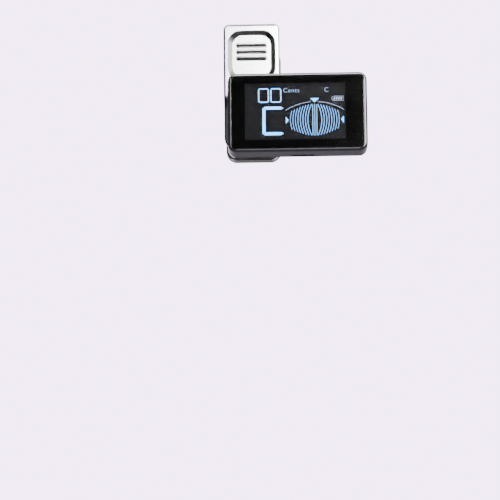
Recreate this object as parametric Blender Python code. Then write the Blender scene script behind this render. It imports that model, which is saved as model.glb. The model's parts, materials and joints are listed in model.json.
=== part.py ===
"""Clip-on tuner: a sprung two-arm clip that carries a display head on a swivel and a tilt joint.

Lengths below are in millimetres; they become metres where a mesh is made. The origin is the centre of
the front pad's gripping face. +Z is up, the display looks along -Y, and +X is to the display's right.
"""
import math

import bmesh
import bpy
from mathutils import Vector

MM = 0.001

# Clip: distances called "out" are measured from the hinge axis towards the outside of the clip.
CLIP_WIDTH = 20.8
CLIP_TOP = 38.3
CLIP_BOTTOM = -8.6
CLIP_TOP_CORNER = 2.3
CLIP_BOTTOM_CORNER = 4.5
HINGE_Y = 6.5
HINGE_Z = 16.5
REST_CLOSE_DEG = 16.0       # how far the rear arm is closed from the position with parallel jaws
PAD_OUT = HINGE_Y
JAW_INNER_OUT = 8.4
JAW_OUTER_OUT = 11.9
JAW_TOP_Z = -9.3            # heights from the hinge axis of the bends between the jaw and the lever
LEVER_FOOT_Z = -6.1
LEVER_THICK = 2.6
FRONT_LEVER_OUT = (14.3, 15.3)      # outer face of the lever at its foot and at its tip
REAR_LEVER_OUT = (11.9, 12.6)
DISH_Z = 9.4                # centre of the thumb dish, from the hinge axis
DISH_RIM = (17.7, 19.5)
DISH_FLOOR = (13.8, 16.4)
DISH_DEPTH = 1.2
RIB_SIZE = (11.2, 1.8)
RIB_PITCH = 2.45
RIB_TOP_Z = 4.9             # uppermost rib, from the centre of the dish
PAD_SIZE = (16.4, 14.0)
PAD_THICK = 2.7
PAD_POCKET = 1.0
PIN_RADIUS = 1.25
EAR_RADIUS = 3.2
FRONT_EAR_X = (7.8, 9.4)
REAR_EAR_X = (6.0, 7.5)
STOP_PLACE = (-1.98, -7.62)         # stop stud on the rear arm, which meets the front ears at rest
STOP_RADIUS = 1.0
SPRING_RADIUS = 3.1
SPRING_WIRE = 1.2
SPRING_TURNS = 5
SPRING_LEG_Z = 9.0          # where a leg starts to lie on its lever, from the hinge axis

# Swivel and tilt
SWIVEL_Z = 0.6
TURNTABLE_RADIUS = 6.2
TURNTABLE_FRONT_Y = -7.8
TILT_Y = -10.8
TILT_SHAFT_RADIUS = 1.0
KNUCKLE_RADIUS = 2.4
KNUCKLE_HALF = 2.2
FORK_X = (2.75, 4.6)
SWIVEL_SCREW_RADIUS = 1.0
SWIVEL_SCREW_HEAD = 2.3
JAW_FACE_Y = HINGE_Y - JAW_OUTER_OUT

# Display head: x and z are measured from its centre, y from the clip's origin.
HEAD_CENTRE_X = 16.9
HEAD_WIDTH = 50.2
HEAD_HEIGHT = 28.95
HEAD_CORNER = 3.0
HEAD_FRONT_Y = -25.0
HEAD_REAR_Y = -14.0
SPLIT_Y = -15.45            # rear edge of the front frame
COVER_INNER_Y = -15.25
WALL = 1.3
LENS_SIZE = (48.0, 26.75)
LENS_CORNER = 1.6
LENS_BACK_Y = -24.0
WEB_FRONT_Y = -23.55
WEB_BACK_Y = -22.75
WINDOW_SIZE = (38.4, 21.8)
LCD_CENTRE_X = -0.75
LCD_SIZE = (39.2, 23.0)
LCD_BACK_Y = -21.05
BRACKET_Y = (-22.5, -18.55)
BRACKET_FLOOR_Y = -19.25    # floor of the bracket's pocket, which holds the LCD and its backlight
BOSS_PLACE = (22.3, 11.5)
BOSS_RADIUS = 1.5
SCREW_RADIUS = 0.6
SCREW_HOLE = 0.75
BOARD_Y = (-18.2, -17.4)
BOARD_X = (-23.2, 5.8)
BOARD_HALF = 11.9
BOARD_SCREW_PLACES = ((-20.9, 7.6), (-20.9, -7.6))
BOARD_SCREW_HOLE = 0.8
ZEBRA_Z = (-11.35, -10.05)
ZEBRA_LENGTH = 34.0
USB_X = 1.65
USB_Y = (-18.1, -15.65)
USB_Z = (-14.1, -8.7)
BUTTON_PLACES = {"power": (-4.5, 5.0), "mode": (2.9, 5.0)}
BUTTON_RADIUS = 2.2
BATTERY_X = 14.5
PIEZO_X = -HEAD_CENTRE_X
GAP = 0.2                   # space left between pieces that touch inside the head
PLAY = 0.15                 # space round a pin or a shaft


def material(name, color, roughness, metallic):
    """A Principled material with one colour."""
    made = bpy.data.materials.new(name)
    made.use_nodes = True
    shader = made.node_tree.nodes["Principled BSDF"]
    shader.inputs["Base Color"].default_value = (*color, 1.0)
    shader.inputs["Roughness"].default_value = roughness
    shader.inputs["Metallic"].default_value = metallic
    made.diffuse_color = (*color, 1.0)
    return made


def empty(name, place, parent=None, turn_x_deg=0.0):
    """An empty that stands on a joint's axis."""
    made = bpy.data.objects.new(name, None)
    made.location = Vector(place) * MM
    made.rotation_euler.x = math.radians(turn_x_deg)
    made.parent = parent
    bpy.context.scene.collection.objects.link(made)
    return made


def add_object(name, bm, parent=None, look=None, place=(0.0, 0.0, 0.0), turn_x_deg=0.0):
    """Turn a mesh drawn in millimetres into a closed, smooth-shaded object."""
    bmesh.ops.recalc_face_normals(bm, faces=bm.faces)
    bmesh.ops.scale(bm, vec=(MM, MM, MM), verts=bm.verts)
    mesh = bpy.data.meshes.new(name)
    bm.to_mesh(mesh)
    bm.free()
    mesh.shade_smooth()
    mesh.set_sharp_from_angle(angle=math.radians(35.0))
    made = bpy.data.objects.new(name, mesh)
    if look is not None:
        mesh.materials.append(look)
    made.parent = parent
    made.location = Vector(place) * MM
    made.rotation_euler.x = math.radians(turn_x_deg)
    bpy.context.scene.collection.objects.link(made)
    return made


def combine(target, tool, operation="DIFFERENCE"):
    """Cut, join or limit the target with a tool, which then stays as a hidden guide."""
    modifier = target.modifiers.new(tool.name, "BOOLEAN")
    modifier.operation = operation
    modifier.solver = "EXACT"
    modifier.object = tool
    tool.hide_render = True
    tool.display_type = "WIRE"


def rounded_outline(corners, steps=4):
    """Points of an outline whose corners, given as (a, b, radius), are rounded by arcs."""
    points = []
    for index, (a, b, radius) in enumerate(corners):
        here = Vector((a, b))
        before = (Vector(corners[index - 1][:2]) - here).normalized()
        after = (Vector(corners[(index + 1) % len(corners)][:2]) - here).normalized()
        half = before.angle(after) / 2.0
        if radius <= 0.0 or half > math.radians(89.9):
            points.append((a, b))
            continue
        reach = radius / math.tan(half)
        centre = here + (before + after).normalized() * (radius / math.sin(half))
        start = here + before * reach - centre
        end = here + after * reach - centre
        sweep = start.angle_signed(end)
        for step in range(steps + 1):
            turn = -sweep * step / steps
            points.append((
                centre.x + start.x * math.cos(turn) - start.y * math.sin(turn),
                centre.y + start.x * math.sin(turn) + start.y * math.cos(turn)))
    return points


def rounded_rect(width, height, radius, centre=(0.0, 0.0), steps=4):
    """Outline of a rectangle with rounded corners."""
    a = width / 2.0
    b = height / 2.0
    x, z = centre
    corners = ((x + a, z + b), (x - a, z + b), (x - a, z - b), (x + a, z - b))
    return rounded_outline([(*corner, radius) for corner in corners], steps)


def circle(radius, centre=(0.0, 0.0), steps=24):
    """Outline of a circle."""
    return [
        (centre[0] + radius * math.cos(2.0 * math.pi * step / steps),
         centre[1] + radius * math.sin(2.0 * math.pi * step / steps)) for step in range(steps)]


def to_axis(axis, a, b, along):
    """A point of an outline (a, b) at a place along the given axis."""
    if axis == "X":
        return (along, a, b)
    if axis == "Y":
        return (a, along, b)
    return (a, b, along)


def add_loft(bm, levels, axis="Y"):
    """Join outlines of equal length, each given as (place along the axis, outline), into a closed solid."""
    rings = [[bm.verts.new(to_axis(axis, a, b, along)) for a, b in outline] for along, outline in levels]
    count = len(rings[0])
    bm.faces.new(rings[0])
    bm.faces.new(rings[-1])
    for low, high in zip(rings, rings[1:]):
        for index in range(count):
            following = (index + 1) % count
            bm.faces.new((low[index], low[following], high[following], high[index]))


def loft(levels, axis="Y"):
    """A closed solid through the given levels."""
    bm = bmesh.new()
    add_loft(bm, levels, axis)
    return bm


def prism(outline, low, high, axis="Y"):
    """One outline drawn out between two places along an axis."""
    return loft([(low, outline), (high, outline)], axis)


def block(x, y, z):
    """A box between the given limits."""
    return prism([(x[0], z[0]), (x[1], z[0]), (x[1], z[1]), (x[0], z[1])], y[0], y[1])


def ring(inner, outer, low, high, axis="Y", centre=(0.0, 0.0), steps=24):
    """A washer or tube: two circles drawn out and joined by their end faces."""
    bm = bmesh.new()
    rings = []
    for radius, along in ((inner, low), (outer, low), (outer, high), (inner, high)):
        rings.append([bm.verts.new(to_axis(axis, a, b, along)) for a, b in circle(radius, centre, steps)])
    for side, other in zip(rings, rings[1:] + rings[:1]):
        for index in range(steps):
            following = (index + 1) % steps
            bm.faces.new((side[index], side[following], other[following], other[index]))
    return bm


def frame_plate(outer, inner, low, high):
    """A flat frame: an outer and an inner outline of equal length, drawn out along Y."""
    bm = bmesh.new()
    rings = []
    for outline, along in ((inner, low), (outer, low), (outer, high), (inner, high)):
        rings.append([bm.verts.new((a, along, b)) for a, b in outline])
    count = len(outer)
    for side, other in zip(rings, rings[1:] + rings[:1]):
        for index in range(count):
            following = (index + 1) % count
            bm.faces.new((side[index], side[following], other[following], other[index]))
    return bm


def turned(profile, axis, centre=(0.0, 0.0), steps=20):
    """A round solid along an axis; the profile lists (radius, place along the axis) from end to end."""
    return loft([(along, circle(radius, centre, steps)) for radius, along in profile], axis)


def wire(name, points, radius, parent, look, sides=1):
    """A round wire through the given points."""
    curve = bpy.data.curves.new(name, "CURVE")
    curve.dimensions = "3D"
    curve.bevel_depth = radius * MM
    curve.bevel_resolution = sides
    curve.use_fill_caps = True
    spline = curve.splines.new("POLY")
    spline.points.add(len(points) - 1)
    for target, point in zip(spline.points, points):
        target.co = (*(Vector(point) * MM), 1.0)
    curve.materials.append(look)
    made = bpy.data.objects.new(name, curve)
    made.parent = parent
    bpy.context.scene.collection.objects.link(made)
    return made


# ---------------------------------------------------------------------------------------------- clip

def lever_angle(lever_out):
    """Lean of a lever's outer face, in degrees."""
    foot, tip = lever_out
    return math.degrees(math.atan2(tip - foot, CLIP_TOP - HINGE_Z - LEVER_FOOT_Z))


def mirrored(low, high):
    """The range and its mirror image, with a label for each side."""
    return (("right", low, high), ("left", -high, -low))


def make_arm(name, side, lever_out, ear_x, parent, look):
    """One clip arm about the hinge axis; side is -1 for the front arm and +1 for the rear one."""
    top = CLIP_TOP - HINGE_Z
    bottom = CLIP_BOTTOM - HINGE_Z
    half = CLIP_WIDTH / 2
    foot, tip = lever_out
    profile = rounded_outline([
        (JAW_INNER_OUT, bottom, 0.6), (JAW_OUTER_OUT, bottom, 1.2), (JAW_OUTER_OUT, JAW_TOP_Z, 2.5),
        (foot, LEVER_FOOT_Z, 2.0), (tip, top, 0.8), (tip - LEVER_THICK, top, 0.8),
        (foot - LEVER_THICK, LEVER_FOOT_Z + 1.8, 2.0), (JAW_INNER_OUT, JAW_TOP_Z + 1.4, 1.0)], steps=3)
    body = prism([(side * out, z) for out, z in profile], -half, half, "X")
    arm = add_object(name, body, parent, look)

    # Cheeks: stiffening ribs down both sides of the lever, which widen into the hinge ears.
    mid = foot - LEVER_THICK / 2
    ear_end = [(-EAR_RADIUS, -EAR_RADIUS, EAR_RADIUS - 0.01)]
    if side > 0:
        # The rear ears reach down to a nose that carries the closing stop.
        ear_end = [(-3.5, -8.8, 1.4), (-0.4, -8.8, 1.4)]
    cheek = rounded_outline([
        (mid + 0.5, top - 2.0, 0.3), (tip - LEVER_THICK - 1.9, top - 2.0, 1.2),
        (foot - LEVER_THICK - 1.6, 7.0, 3.0), (-EAR_RADIUS, EAR_RADIUS, EAR_RADIUS - 0.01),
        *ear_end, (JAW_INNER_OUT + 1.4, -7.2, 0.0), (mid, -5.0, 0.0)])
    for label, low, high in mirrored(*ear_x):
        plate = prism([(side * out, z) for out, z in cheek], low, high, "X")
        combine(arm, add_object(f"{name}_cheek_{label}", plate, parent), "UNION")
    if side > 0:
        for label, low, high in mirrored(7.0, 9.2):
            stud = prism(circle(STOP_RADIUS, STOP_PLACE, 16), low, high, "X")
            combine(arm, add_object(f"{name}_stop_{label}", stud, parent), "UNION")

    outline = rounded_outline([
        (half, top, CLIP_TOP_CORNER), (-half, top, CLIP_TOP_CORNER),
        (-half, bottom, CLIP_BOTTOM_CORNER), (half, bottom, CLIP_BOTTOM_CORNER)], steps=5)
    face = add_object(f"{name}_outline", prism(outline, side * -6.0, side * 20.0), parent)
    combine(arm, face, "INTERSECT")

    cuts = bmesh.new()
    pocket = rounded_rect(PAD_SIZE[0] + 2 * GAP, PAD_SIZE[1] + 2 * GAP, 3.2, (0.0, -HINGE_Z))
    add_loft(cuts, [(side * (JAW_INNER_OUT - 1.0), pocket), (side * (JAW_INNER_OUT + PAD_POCKET), pocket)])
    add_loft(cuts, [(-12.0, circle(PIN_RADIUS + PLAY)), (12.0, circle(PIN_RADIUS + PLAY))], "X")
    combine(arm, add_object(f"{name}_cuts", cuts, parent))

    add_thumb_dish(arm, name, side, lever_out, parent)
    return arm


def add_thumb_dish(arm, name, side, lever_out, parent):
    """Sink a sloping dish into the lever's outer face and leave three ribs standing in it."""
    lean = lever_angle(lever_out)
    face = lever_out[0] + (DISH_Z - LEVER_FOOT_Z) * math.tan(math.radians(lean))
    place = (0.0, side * face, DISH_Z)
    width, height = DISH_RIM
    levels = [(side * 0.5, rounded_rect(width + 0.6, height + 0.6, 4.8)),
              (side * -0.1, rounded_rect(width, height, 4.5)),
              (side * -DISH_DEPTH, rounded_rect(*DISH_FLOOR, 3.0))]
    dish = add_object(f"{name}_dish", loft(levels), parent, place=place, turn_x_deg=side * -lean)
    combine(arm, dish)
    ribs = bmesh.new()
    length, thick = RIB_SIZE
    for row in range(3):
        centre = (0.0, RIB_TOP_Z - RIB_PITCH * row)
        full = rounded_rect(length, thick, thick / 2 - 0.01, centre)
        crest = rounded_rect(length - 0.6, thick - 0.6, thick / 2 - 0.31, centre)
        add_loft(ribs, [(side * (-DISH_DEPTH - 0.5), full), (side * -0.45, full), (side * -0.15, crest)])
    combine(arm, add_object(f"{name}_ribs", ribs, parent, place=place, turn_x_deg=side * -lean), "UNION")


def make_pad(name, side, parent, look):
    """Rubber pad that sits in the jaw's pocket, with a flat gripping face."""
    place = (0.0, -HINGE_Z)
    full = rounded_rect(*PAD_SIZE, 3.0, place)
    small = rounded_rect(PAD_SIZE[0] - 0.8, PAD_SIZE[1] - 0.8, 2.6, place)
    levels = [(side * (PAD_OUT + PAD_THICK), full), (side * (PAD_OUT + 0.4), full), (side * PAD_OUT, small)]
    return add_object(name, loft(levels), parent, look)


def make_hinge(parent, steel, nylon):
    """Hinge pin with a flat head, its retaining clip, and the bush inside the spring."""
    pin = [(1.9, -10.2), (2.3, -10.0), (2.3, -9.7), (PIN_RADIUS, -9.7), (PIN_RADIUS, 9.6), (0.85, 9.6),
           (0.85, 10.02), (PIN_RADIUS, 10.02), (1.1, 10.2)]
    add_object("hinge_pin", turned(pin, "X"), parent, steel)
    opening = math.radians(35.0)
    sweep = 2.0 * math.pi - 2.0 * opening
    steps = 18
    turns = [opening + sweep * step / steps for step in range(steps + 1)]
    outline = [(2.25 * math.cos(turn), 2.25 * math.sin(turn)) for turn in turns]
    outline += [(1.0 * math.cos(turn), 1.0 * math.sin(turn)) for turn in reversed(turns)]
    add_object("hinge_clip", prism(outline, 9.68, 9.94, "X"), parent, steel)
    add_object("spring_bush", ring(PIN_RADIUS + PLAY, 2.2, -4.6, 4.6, "X", steps=16), parent, nylon)


def leg_points(x, side, end_out, end_z, flat):
    """A spring leg in the hinge's frame: from its tangent point on the coil to the lever's inner face."""
    target = Vector((side * end_out, end_z))
    reach = target.length
    aim = math.atan2(target.y, target.x)
    # The leg leaves the coil where the line to its end is tangent to it.
    tangent = aim - side * math.acos(SPRING_RADIUS / reach)
    start = (x, SPRING_RADIUS * math.cos(tangent), SPRING_RADIUS * math.sin(tangent))
    return tangent, [start, (x, target.x, target.y), (x, target.x + side * flat[0], target.y + flat[1])]


def make_spring(parent, look):
    """Torsion spring round the hinge: its legs press the two levers apart."""
    half = 0.62 * SPRING_WIRE * SPRING_TURNS
    wire_half = SPRING_WIRE / 2 + GAP
    front_end = FRONT_LEVER_OUT[0] - LEVER_THICK - wire_half + 0.1
    rear_end = REAR_LEVER_OUT[0] - LEVER_THICK - wire_half + 0.1
    front_turn, front_leg = leg_points(half, -1, front_end, SPRING_LEG_Z, (0.18, 5.0))
    rear_turn, rear_leg = leg_points(-half, 1, rear_end, SPRING_LEG_Z, (0.12, 5.0))
    # The rear leg follows the closed rear arm.
    close = math.radians(-REST_CLOSE_DEG)
    rear_leg = [(x, y * math.cos(close) - z * math.sin(close), y * math.sin(close) + z * math.cos(close))
                for x, y, z in rear_leg]
    rear_turn += close
    sweep = 2.0 * math.pi * SPRING_TURNS + (front_turn - rear_turn) % (2.0 * math.pi)
    steps = 12 * SPRING_TURNS + 4
    coil = []
    for step in range(1, steps):
        turn = rear_turn + sweep * step / steps
        x = -half + 2.0 * half * step / steps
        coil.append((x, SPRING_RADIUS * math.cos(turn), SPRING_RADIUS * math.sin(turn)))
    points = list(reversed(rear_leg)) + coil + front_leg
    wire("clip_spring", points, SPRING_WIRE / 2, parent, look, sides=2)


# ------------------------------------------------------------------------------------ swivel and tilt

def make_swivel(arm, hinge, swivel, steel, silver, nylon):
    """Turntable with a knuckle, held to the front jaw by a screw under the pad."""
    face = JAW_FACE_Y - GAP
    base = add_object("swivel_base", turned([
        (TURNTABLE_RADIUS, face), (TURNTABLE_RADIUS, TURNTABLE_FRONT_Y + 0.5),
        (TURNTABLE_RADIUS - 0.5, TURNTABLE_FRONT_Y)], "Y", steps=32), swivel, silver)
    root = TURNTABLE_FRONT_Y + 0.8
    end = TILT_Y - KNUCKLE_RADIUS
    knuckle = rounded_outline([
        (root, -3.6, 0.0), (root, 3.6, 0.0), (end, KNUCKLE_RADIUS, KNUCKLE_RADIUS - 0.01),
        (end, -KNUCKLE_RADIUS, KNUCKLE_RADIUS - 0.01)], steps=6)
    block_along_x = prism(knuckle, -KNUCKLE_HALF, KNUCKLE_HALF, "X")
    combine(base, add_object("swivel_knuckle", block_along_x, swivel), "UNION")
    shaft = circle(TILT_SHAFT_RADIUS + PLAY, (TILT_Y, 0.0), 16)
    cuts = bmesh.new()
    add_loft(cuts, [(face + 1.0, circle(5.7)), (face - 0.45, circle(5.7))])
    add_loft(cuts, [(-4.0, shaft), (4.0, shaft)], "X")
    combine(base, add_object("swivel_base_cuts", cuts, swivel))
    bore = prism(circle(SWIVEL_SCREW_RADIUS + PLAY, steps=16), face + 1.0, -8.2)
    combine(base, add_object("swivel_base_bore", bore, swivel))
    washer = ring(1.5, 5.5, JAW_FACE_Y - 0.15, JAW_FACE_Y - 0.45, steps=32)
    add_object("swivel_friction_washer", washer, swivel, nylon)

    # Screw from the pad's pocket, with its head and a wave washer in a counterbore of the jaw.
    pocket_floor = HINGE_Y - JAW_INNER_OUT - PAD_POCKET
    head_back = pocket_floor - 0.95
    add_object("swivel_screw", turned([
        (SWIVEL_SCREW_HEAD, pocket_floor - 0.15), (SWIVEL_SCREW_HEAD, head_back),
        (SWIVEL_SCREW_RADIUS, head_back), (SWIVEL_SCREW_RADIUS, -8.0)], "Y"), swivel, steel)
    make_wave_washer("swivel_wave_washer", head_back - 0.23, swivel, steel)
    in_arm = SWIVEL_Z - HINGE_Z
    counterbore = prism(circle(SWIVEL_SCREW_HEAD + 0.3, (0.0, in_arm)),
                        -JAW_INNER_OUT, -(JAW_INNER_OUT + PAD_POCKET + 1.5))
    combine(arm, add_object("front_arm_counterbore", counterbore, hinge))
    hole = prism(circle(SWIVEL_SCREW_RADIUS + GAP, (0.0, in_arm), 16), -JAW_INNER_OUT, -(JAW_OUTER_OUT + 1.0))
    combine(arm, add_object("front_arm_screw_hole", hole, hinge))


def make_wave_washer(name, y, parent, look):
    """Thin washer bent into three low waves round its edge."""
    bm = bmesh.new()
    steps = 24
    rings = []
    for radius, thick in ((1.25, 0.0), (2.25, 0.0), (2.25, 0.15), (1.25, 0.15)):
        ring_verts = []
        for step in range(steps):
            turn = 2.0 * math.pi * step / steps
            along = y - thick + 0.06 * math.sin(3.0 * turn)
            ring_verts.append(bm.verts.new((radius * math.cos(turn), along, radius * math.sin(turn))))
        rings.append(ring_verts)
    for side, other in zip(rings, rings[1:] + rings[:1]):
        for index in range(steps):
            following = (index + 1) % steps
            bm.faces.new((side[index], side[following], other[following], other[index]))
    add_object(name, bm, parent, look)


def make_tilt(head, steel, nylon):
    """Tilt screw along X through the fork and knuckle, its nut and two friction washers."""
    profile = [(TILT_SHAFT_RADIUS, -6.4), (TILT_SHAFT_RADIUS, 4.8), (1.9, 4.8), (1.9, 5.6), (1.5, 6.0)]
    screw = add_object("tilt_screw", turned(profile, "X"), head, steel)
    slot = block((5.4, 7.0), (-0.25, 0.25), (-2.5, 2.5))
    combine(screw, add_object("tilt_screw_slot", slot, head))
    tilt_nut = add_object("tilt_nut", prism(circle(2.1, steps=6), -6.1, -4.8, "X"), head, steel)
    thread = prism(circle(TILT_SHAFT_RADIUS + 0.12, steps=16), -7.0, -4.0, "X")
    combine(tilt_nut, add_object("tilt_nut_thread", thread, head))
    for label, side in (("left", -1), ("right", 1)):
        inner = side * (KNUCKLE_HALF + PLAY)
        outer = side * (FORK_X[0] - PLAY)
        washer = ring(TILT_SHAFT_RADIUS + PLAY, 2.3, inner, outer, "X")
        add_object(f"tilt_washer_{label}", washer, head, nylon)


# -------------------------------------------------------------------------------------- display head

def head_outline(inset=0.0, steps=5):
    """Outline of the display head, drawn in by an inset."""
    return rounded_rect(HEAD_WIDTH - 2 * inset, HEAD_HEIGHT - 2 * inset, HEAD_CORNER - inset, steps=steps)


def make_front_frame(centre, look):
    """Casing tub: bright chamfer round the lens seat, a window, corner bosses and the socket's hole."""
    frame = add_object("front_frame", loft([
        (HEAD_FRONT_Y, head_outline(1.0)), (HEAD_FRONT_Y + 0.45, head_outline(0.6)),
        (HEAD_FRONT_Y + 0.75, head_outline(0.2)), (HEAD_FRONT_Y + 1.25, head_outline()),
        (SPLIT_Y, head_outline())]), centre, look)
    seat = rounded_rect(*LENS_SIZE, LENS_CORNER)
    hollow = head_outline(WALL)
    cuts = bmesh.new()
    add_loft(cuts, [(HEAD_FRONT_Y - 1.0, seat), (WEB_FRONT_Y, seat)])
    add_loft(cuts, [(WEB_BACK_Y, hollow), (SPLIT_Y + 1.0, hollow)])
    combine(frame, add_object("front_frame_tub", cuts, centre))
    opening = rounded_rect(*WINDOW_SIZE, 0.6, (LCD_CENTRE_X, 0.0))
    window = prism(opening, WEB_FRONT_Y - 0.5, WEB_BACK_Y + 0.5)
    combine(frame, add_object("front_frame_window", window, centre))
    bosses = bmesh.new()
    holes = bmesh.new()
    for place in corner_places(*BOSS_PLACE):
        boss = circle(BOSS_RADIUS, place, 16)
        hole = circle(SCREW_HOLE, place, 12)
        add_loft(bosses, [(WEB_BACK_Y - 0.4, boss), (SPLIT_Y, boss)])
        add_loft(holes, [(-21.5, hole), (SPLIT_Y + 1.0, hole)])
    combine(frame, add_object("front_frame_bosses", bosses, centre), "UNION")
    socket = rounded_rect(8.0, 2.9, 0.7, (USB_X, (USB_Y[0] + USB_Y[1]) / 2))
    add_loft(holes, [(-16.0, socket), (-11.0, socket)], "Z")
    combine(frame, add_object("front_frame_holes", holes, centre))


def corner_places(x, z):
    """The four corners of a rectangle round the head's centre."""
    return [(side * x, level * z) for level in (1, -1) for side in (-1, 1)]


def make_rear_cover(centre, head, look):
    """Rear cover with a rounded edge, the tilt fork, two button holes and four countersunk holes."""
    cover = add_object("rear_cover", loft([
        (COVER_INNER_Y, head_outline()), (HEAD_REAR_Y - 0.8, head_outline()),
        (HEAD_REAR_Y - 0.25, head_outline(0.22)), (HEAD_REAR_Y, head_outline(0.8))]), centre, look)
    root = HEAD_REAR_Y - TILT_Y - 0.6
    ear = rounded_outline([
        (root, -3.4, 0.0), (root, 3.4, 0.0), (KNUCKLE_RADIUS, KNUCKLE_RADIUS, KNUCKLE_RADIUS - 0.01),
        (KNUCKLE_RADIUS, -KNUCKLE_RADIUS, KNUCKLE_RADIUS - 0.01)], steps=6)
    for label, low, high in mirrored(*FORK_X):
        combine(cover, add_object(f"fork_{label}", prism(ear, low, high, "X"), head), "UNION")
    bore = prism(circle(TILT_SHAFT_RADIUS + PLAY, steps=16), -7.0, 7.0, "X")
    combine(cover, add_object("fork_bore", bore, head))
    cuts = bmesh.new()
    for place in BUTTON_PLACES.values():
        hole = circle(BUTTON_RADIUS + GAP, place)
        add_loft(cuts, [(COVER_INNER_Y - 1.0, hole), (HEAD_REAR_Y + 1.0, hole)])
    for place in corner_places(*BOSS_PLACE):
        shank = circle(SCREW_HOLE, place, 16)
        sink = circle(1.45, place, 16)
        add_loft(cuts, [(COVER_INNER_Y - 1.0, shank), (-14.95, shank), (HEAD_REAR_Y, sink), (-13.5, sink)])
    combine(cover, add_object("rear_cover_holes", cuts, centre))


def make_screw(name, x, z, profile, slot_y, parent, look):
    """A small screw along Y with a cross recess in its head."""
    screw = add_object(name, turned(profile, "Y", (x, z), 16), parent, look)
    reach = 0.7
    half = 0.14
    cross = block((x - reach, x + reach), slot_y, (z - half, z + half))
    lower_arm = [(x - half, z - reach), (x + half, z - reach), (x + half, z - 0.24), (x - half, z - 0.24)]
    add_loft(cross, [(slot_y[0], lower_arm), (slot_y[1], lower_arm)])
    combine(screw, add_object(f"{name}_recess", cross, parent))


def make_head_screws(centre, steel):
    """Four countersunk cover screws and two pan-head board screws."""
    for number, (x, z) in enumerate(corner_places(*BOSS_PLACE), 1):
        profile = [(SCREW_RADIUS, -20.5), (SCREW_RADIUS, -14.85), (1.2, -14.1)]
        make_screw(f"cover_screw_{number}", x, z, profile, (-14.5, -13.9), centre, steel)
    under_head = BOARD_Y[1] + 0.15
    for number, (x, z) in enumerate(BOARD_SCREW_PLACES, 1):
        profile = [(SCREW_RADIUS, BOARD_Y[0] - 0.2), (SCREW_RADIUS, under_head), (1.3, under_head),
                   (1.1, under_head + 0.6)]
        slot_y = (under_head + 0.25, under_head + 0.85)
        make_screw(f"board_screw_{number}", x, z, profile, slot_y, centre, steel)


def make_display(centre, glass, tape, lcd, plastic, clear, board, led, rubber):
    """Lens, its tape, LCD, backlight and the bracket that holds them."""
    lens = (LENS_SIZE[0] - 2 * GAP, LENS_SIZE[1] - 2 * GAP)
    add_object("display_lens", loft([
        (LENS_BACK_Y, rounded_rect(*lens, 1.4)), (HEAD_FRONT_Y + 0.2, rounded_rect(*lens, 1.4)),
        (HEAD_FRONT_Y + 0.1, rounded_rect(lens[0] - 0.2, lens[1] - 0.2, 1.3))]), centre, glass)
    outer = rounded_rect(lens[0] - 0.2, lens[1] - 0.2, 1.3)
    inner = rounded_rect(WINDOW_SIZE[0] + 0.8, WINDOW_SIZE[1] + 0.6, 0.8, (LCD_CENTRE_X, 0.0))
    add_object("lens_tape", frame_plate(outer, inner, WEB_FRONT_Y - 0.3, WEB_FRONT_Y - 0.15), centre, tape)

    x = LCD_SIZE[0] / 2
    z = LCD_SIZE[1] / 2
    panel = add_object("lcd_panel", block(
        (LCD_CENTRE_X - x, LCD_CENTRE_X + x), (WEB_BACK_Y + GAP, LCD_BACK_Y), (-z, z)), centre, lcd)
    ledge = block((LCD_CENTRE_X - 25.0, LCD_CENTRE_X + 25.0), (-21.8, -20.0), (-13.0, -9.9))
    combine(panel, add_object("lcd_ledge", ledge, centre))
    guide = block((-18.9, 18.6), (LCD_BACK_Y + GAP, BRACKET_FLOOR_Y - GAP), (-9.6, 11.2))
    add_object("backlight_guide", guide, centre, clear)
    add_object("backlight_strip", block((-20.4, -20.15), (-20.8, -19.5), (-7.0, 7.0)), centre, board)
    for number, z in enumerate((-4.5, 4.5), 1):
        lamp = block((-20.0, -19.1), (-20.6, -19.7), (z - 0.9, z + 0.9))
        add_object(f"backlight_led_{number}", lamp, centre, led)

    x, z = (21.75, 12.5)
    cut = 4.3
    octagon = [(x, z - cut), (x - cut, z), (cut - x, z), (-x, z - cut),
               (-x, cut - z), (cut - x, -z), (x - cut, -z), (x, cut - z)]
    plate = prism([(a + LCD_CENTRE_X, b) for a, b in octagon], *BRACKET_Y)
    bracket = add_object("lcd_bracket", plate, centre, plastic)
    room = rounded_rect(LCD_SIZE[0] + 2 * GAP, LCD_SIZE[1] + 2 * GAP, 0.3, (LCD_CENTRE_X, 0.0), 1)
    combine(bracket, add_object("lcd_bracket_pocket", prism(room, -23.5, BRACKET_FLOOR_Y), centre))
    zebra_z = (ZEBRA_Z[0] + ZEBRA_Z[1]) / 2
    openings = [rounded_rect(ZEBRA_LENGTH + 2 * GAP, ZEBRA_Z[1] - ZEBRA_Z[0] + 2 * GAP, 0.3,
                             (LCD_CENTRE_X, zebra_z), 1)]
    openings += [circle(BOARD_SCREW_HOLE, place, 12) for place in BOARD_SCREW_PLACES]
    slot = bmesh.new()
    for opening in openings:
        add_loft(slot, [(BRACKET_FLOOR_Y - 0.55, opening), (BRACKET_Y[1] + 0.55, opening)])
    combine(bracket, add_object("lcd_bracket_slots", slot, centre))
    reach = ZEBRA_LENGTH / 2
    zebra = block((LCD_CENTRE_X - reach, LCD_CENTRE_X + reach), (-21.6, BOARD_Y[0] - GAP), ZEBRA_Z)
    add_object("zebra_connector", zebra, centre, rubber)


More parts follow.
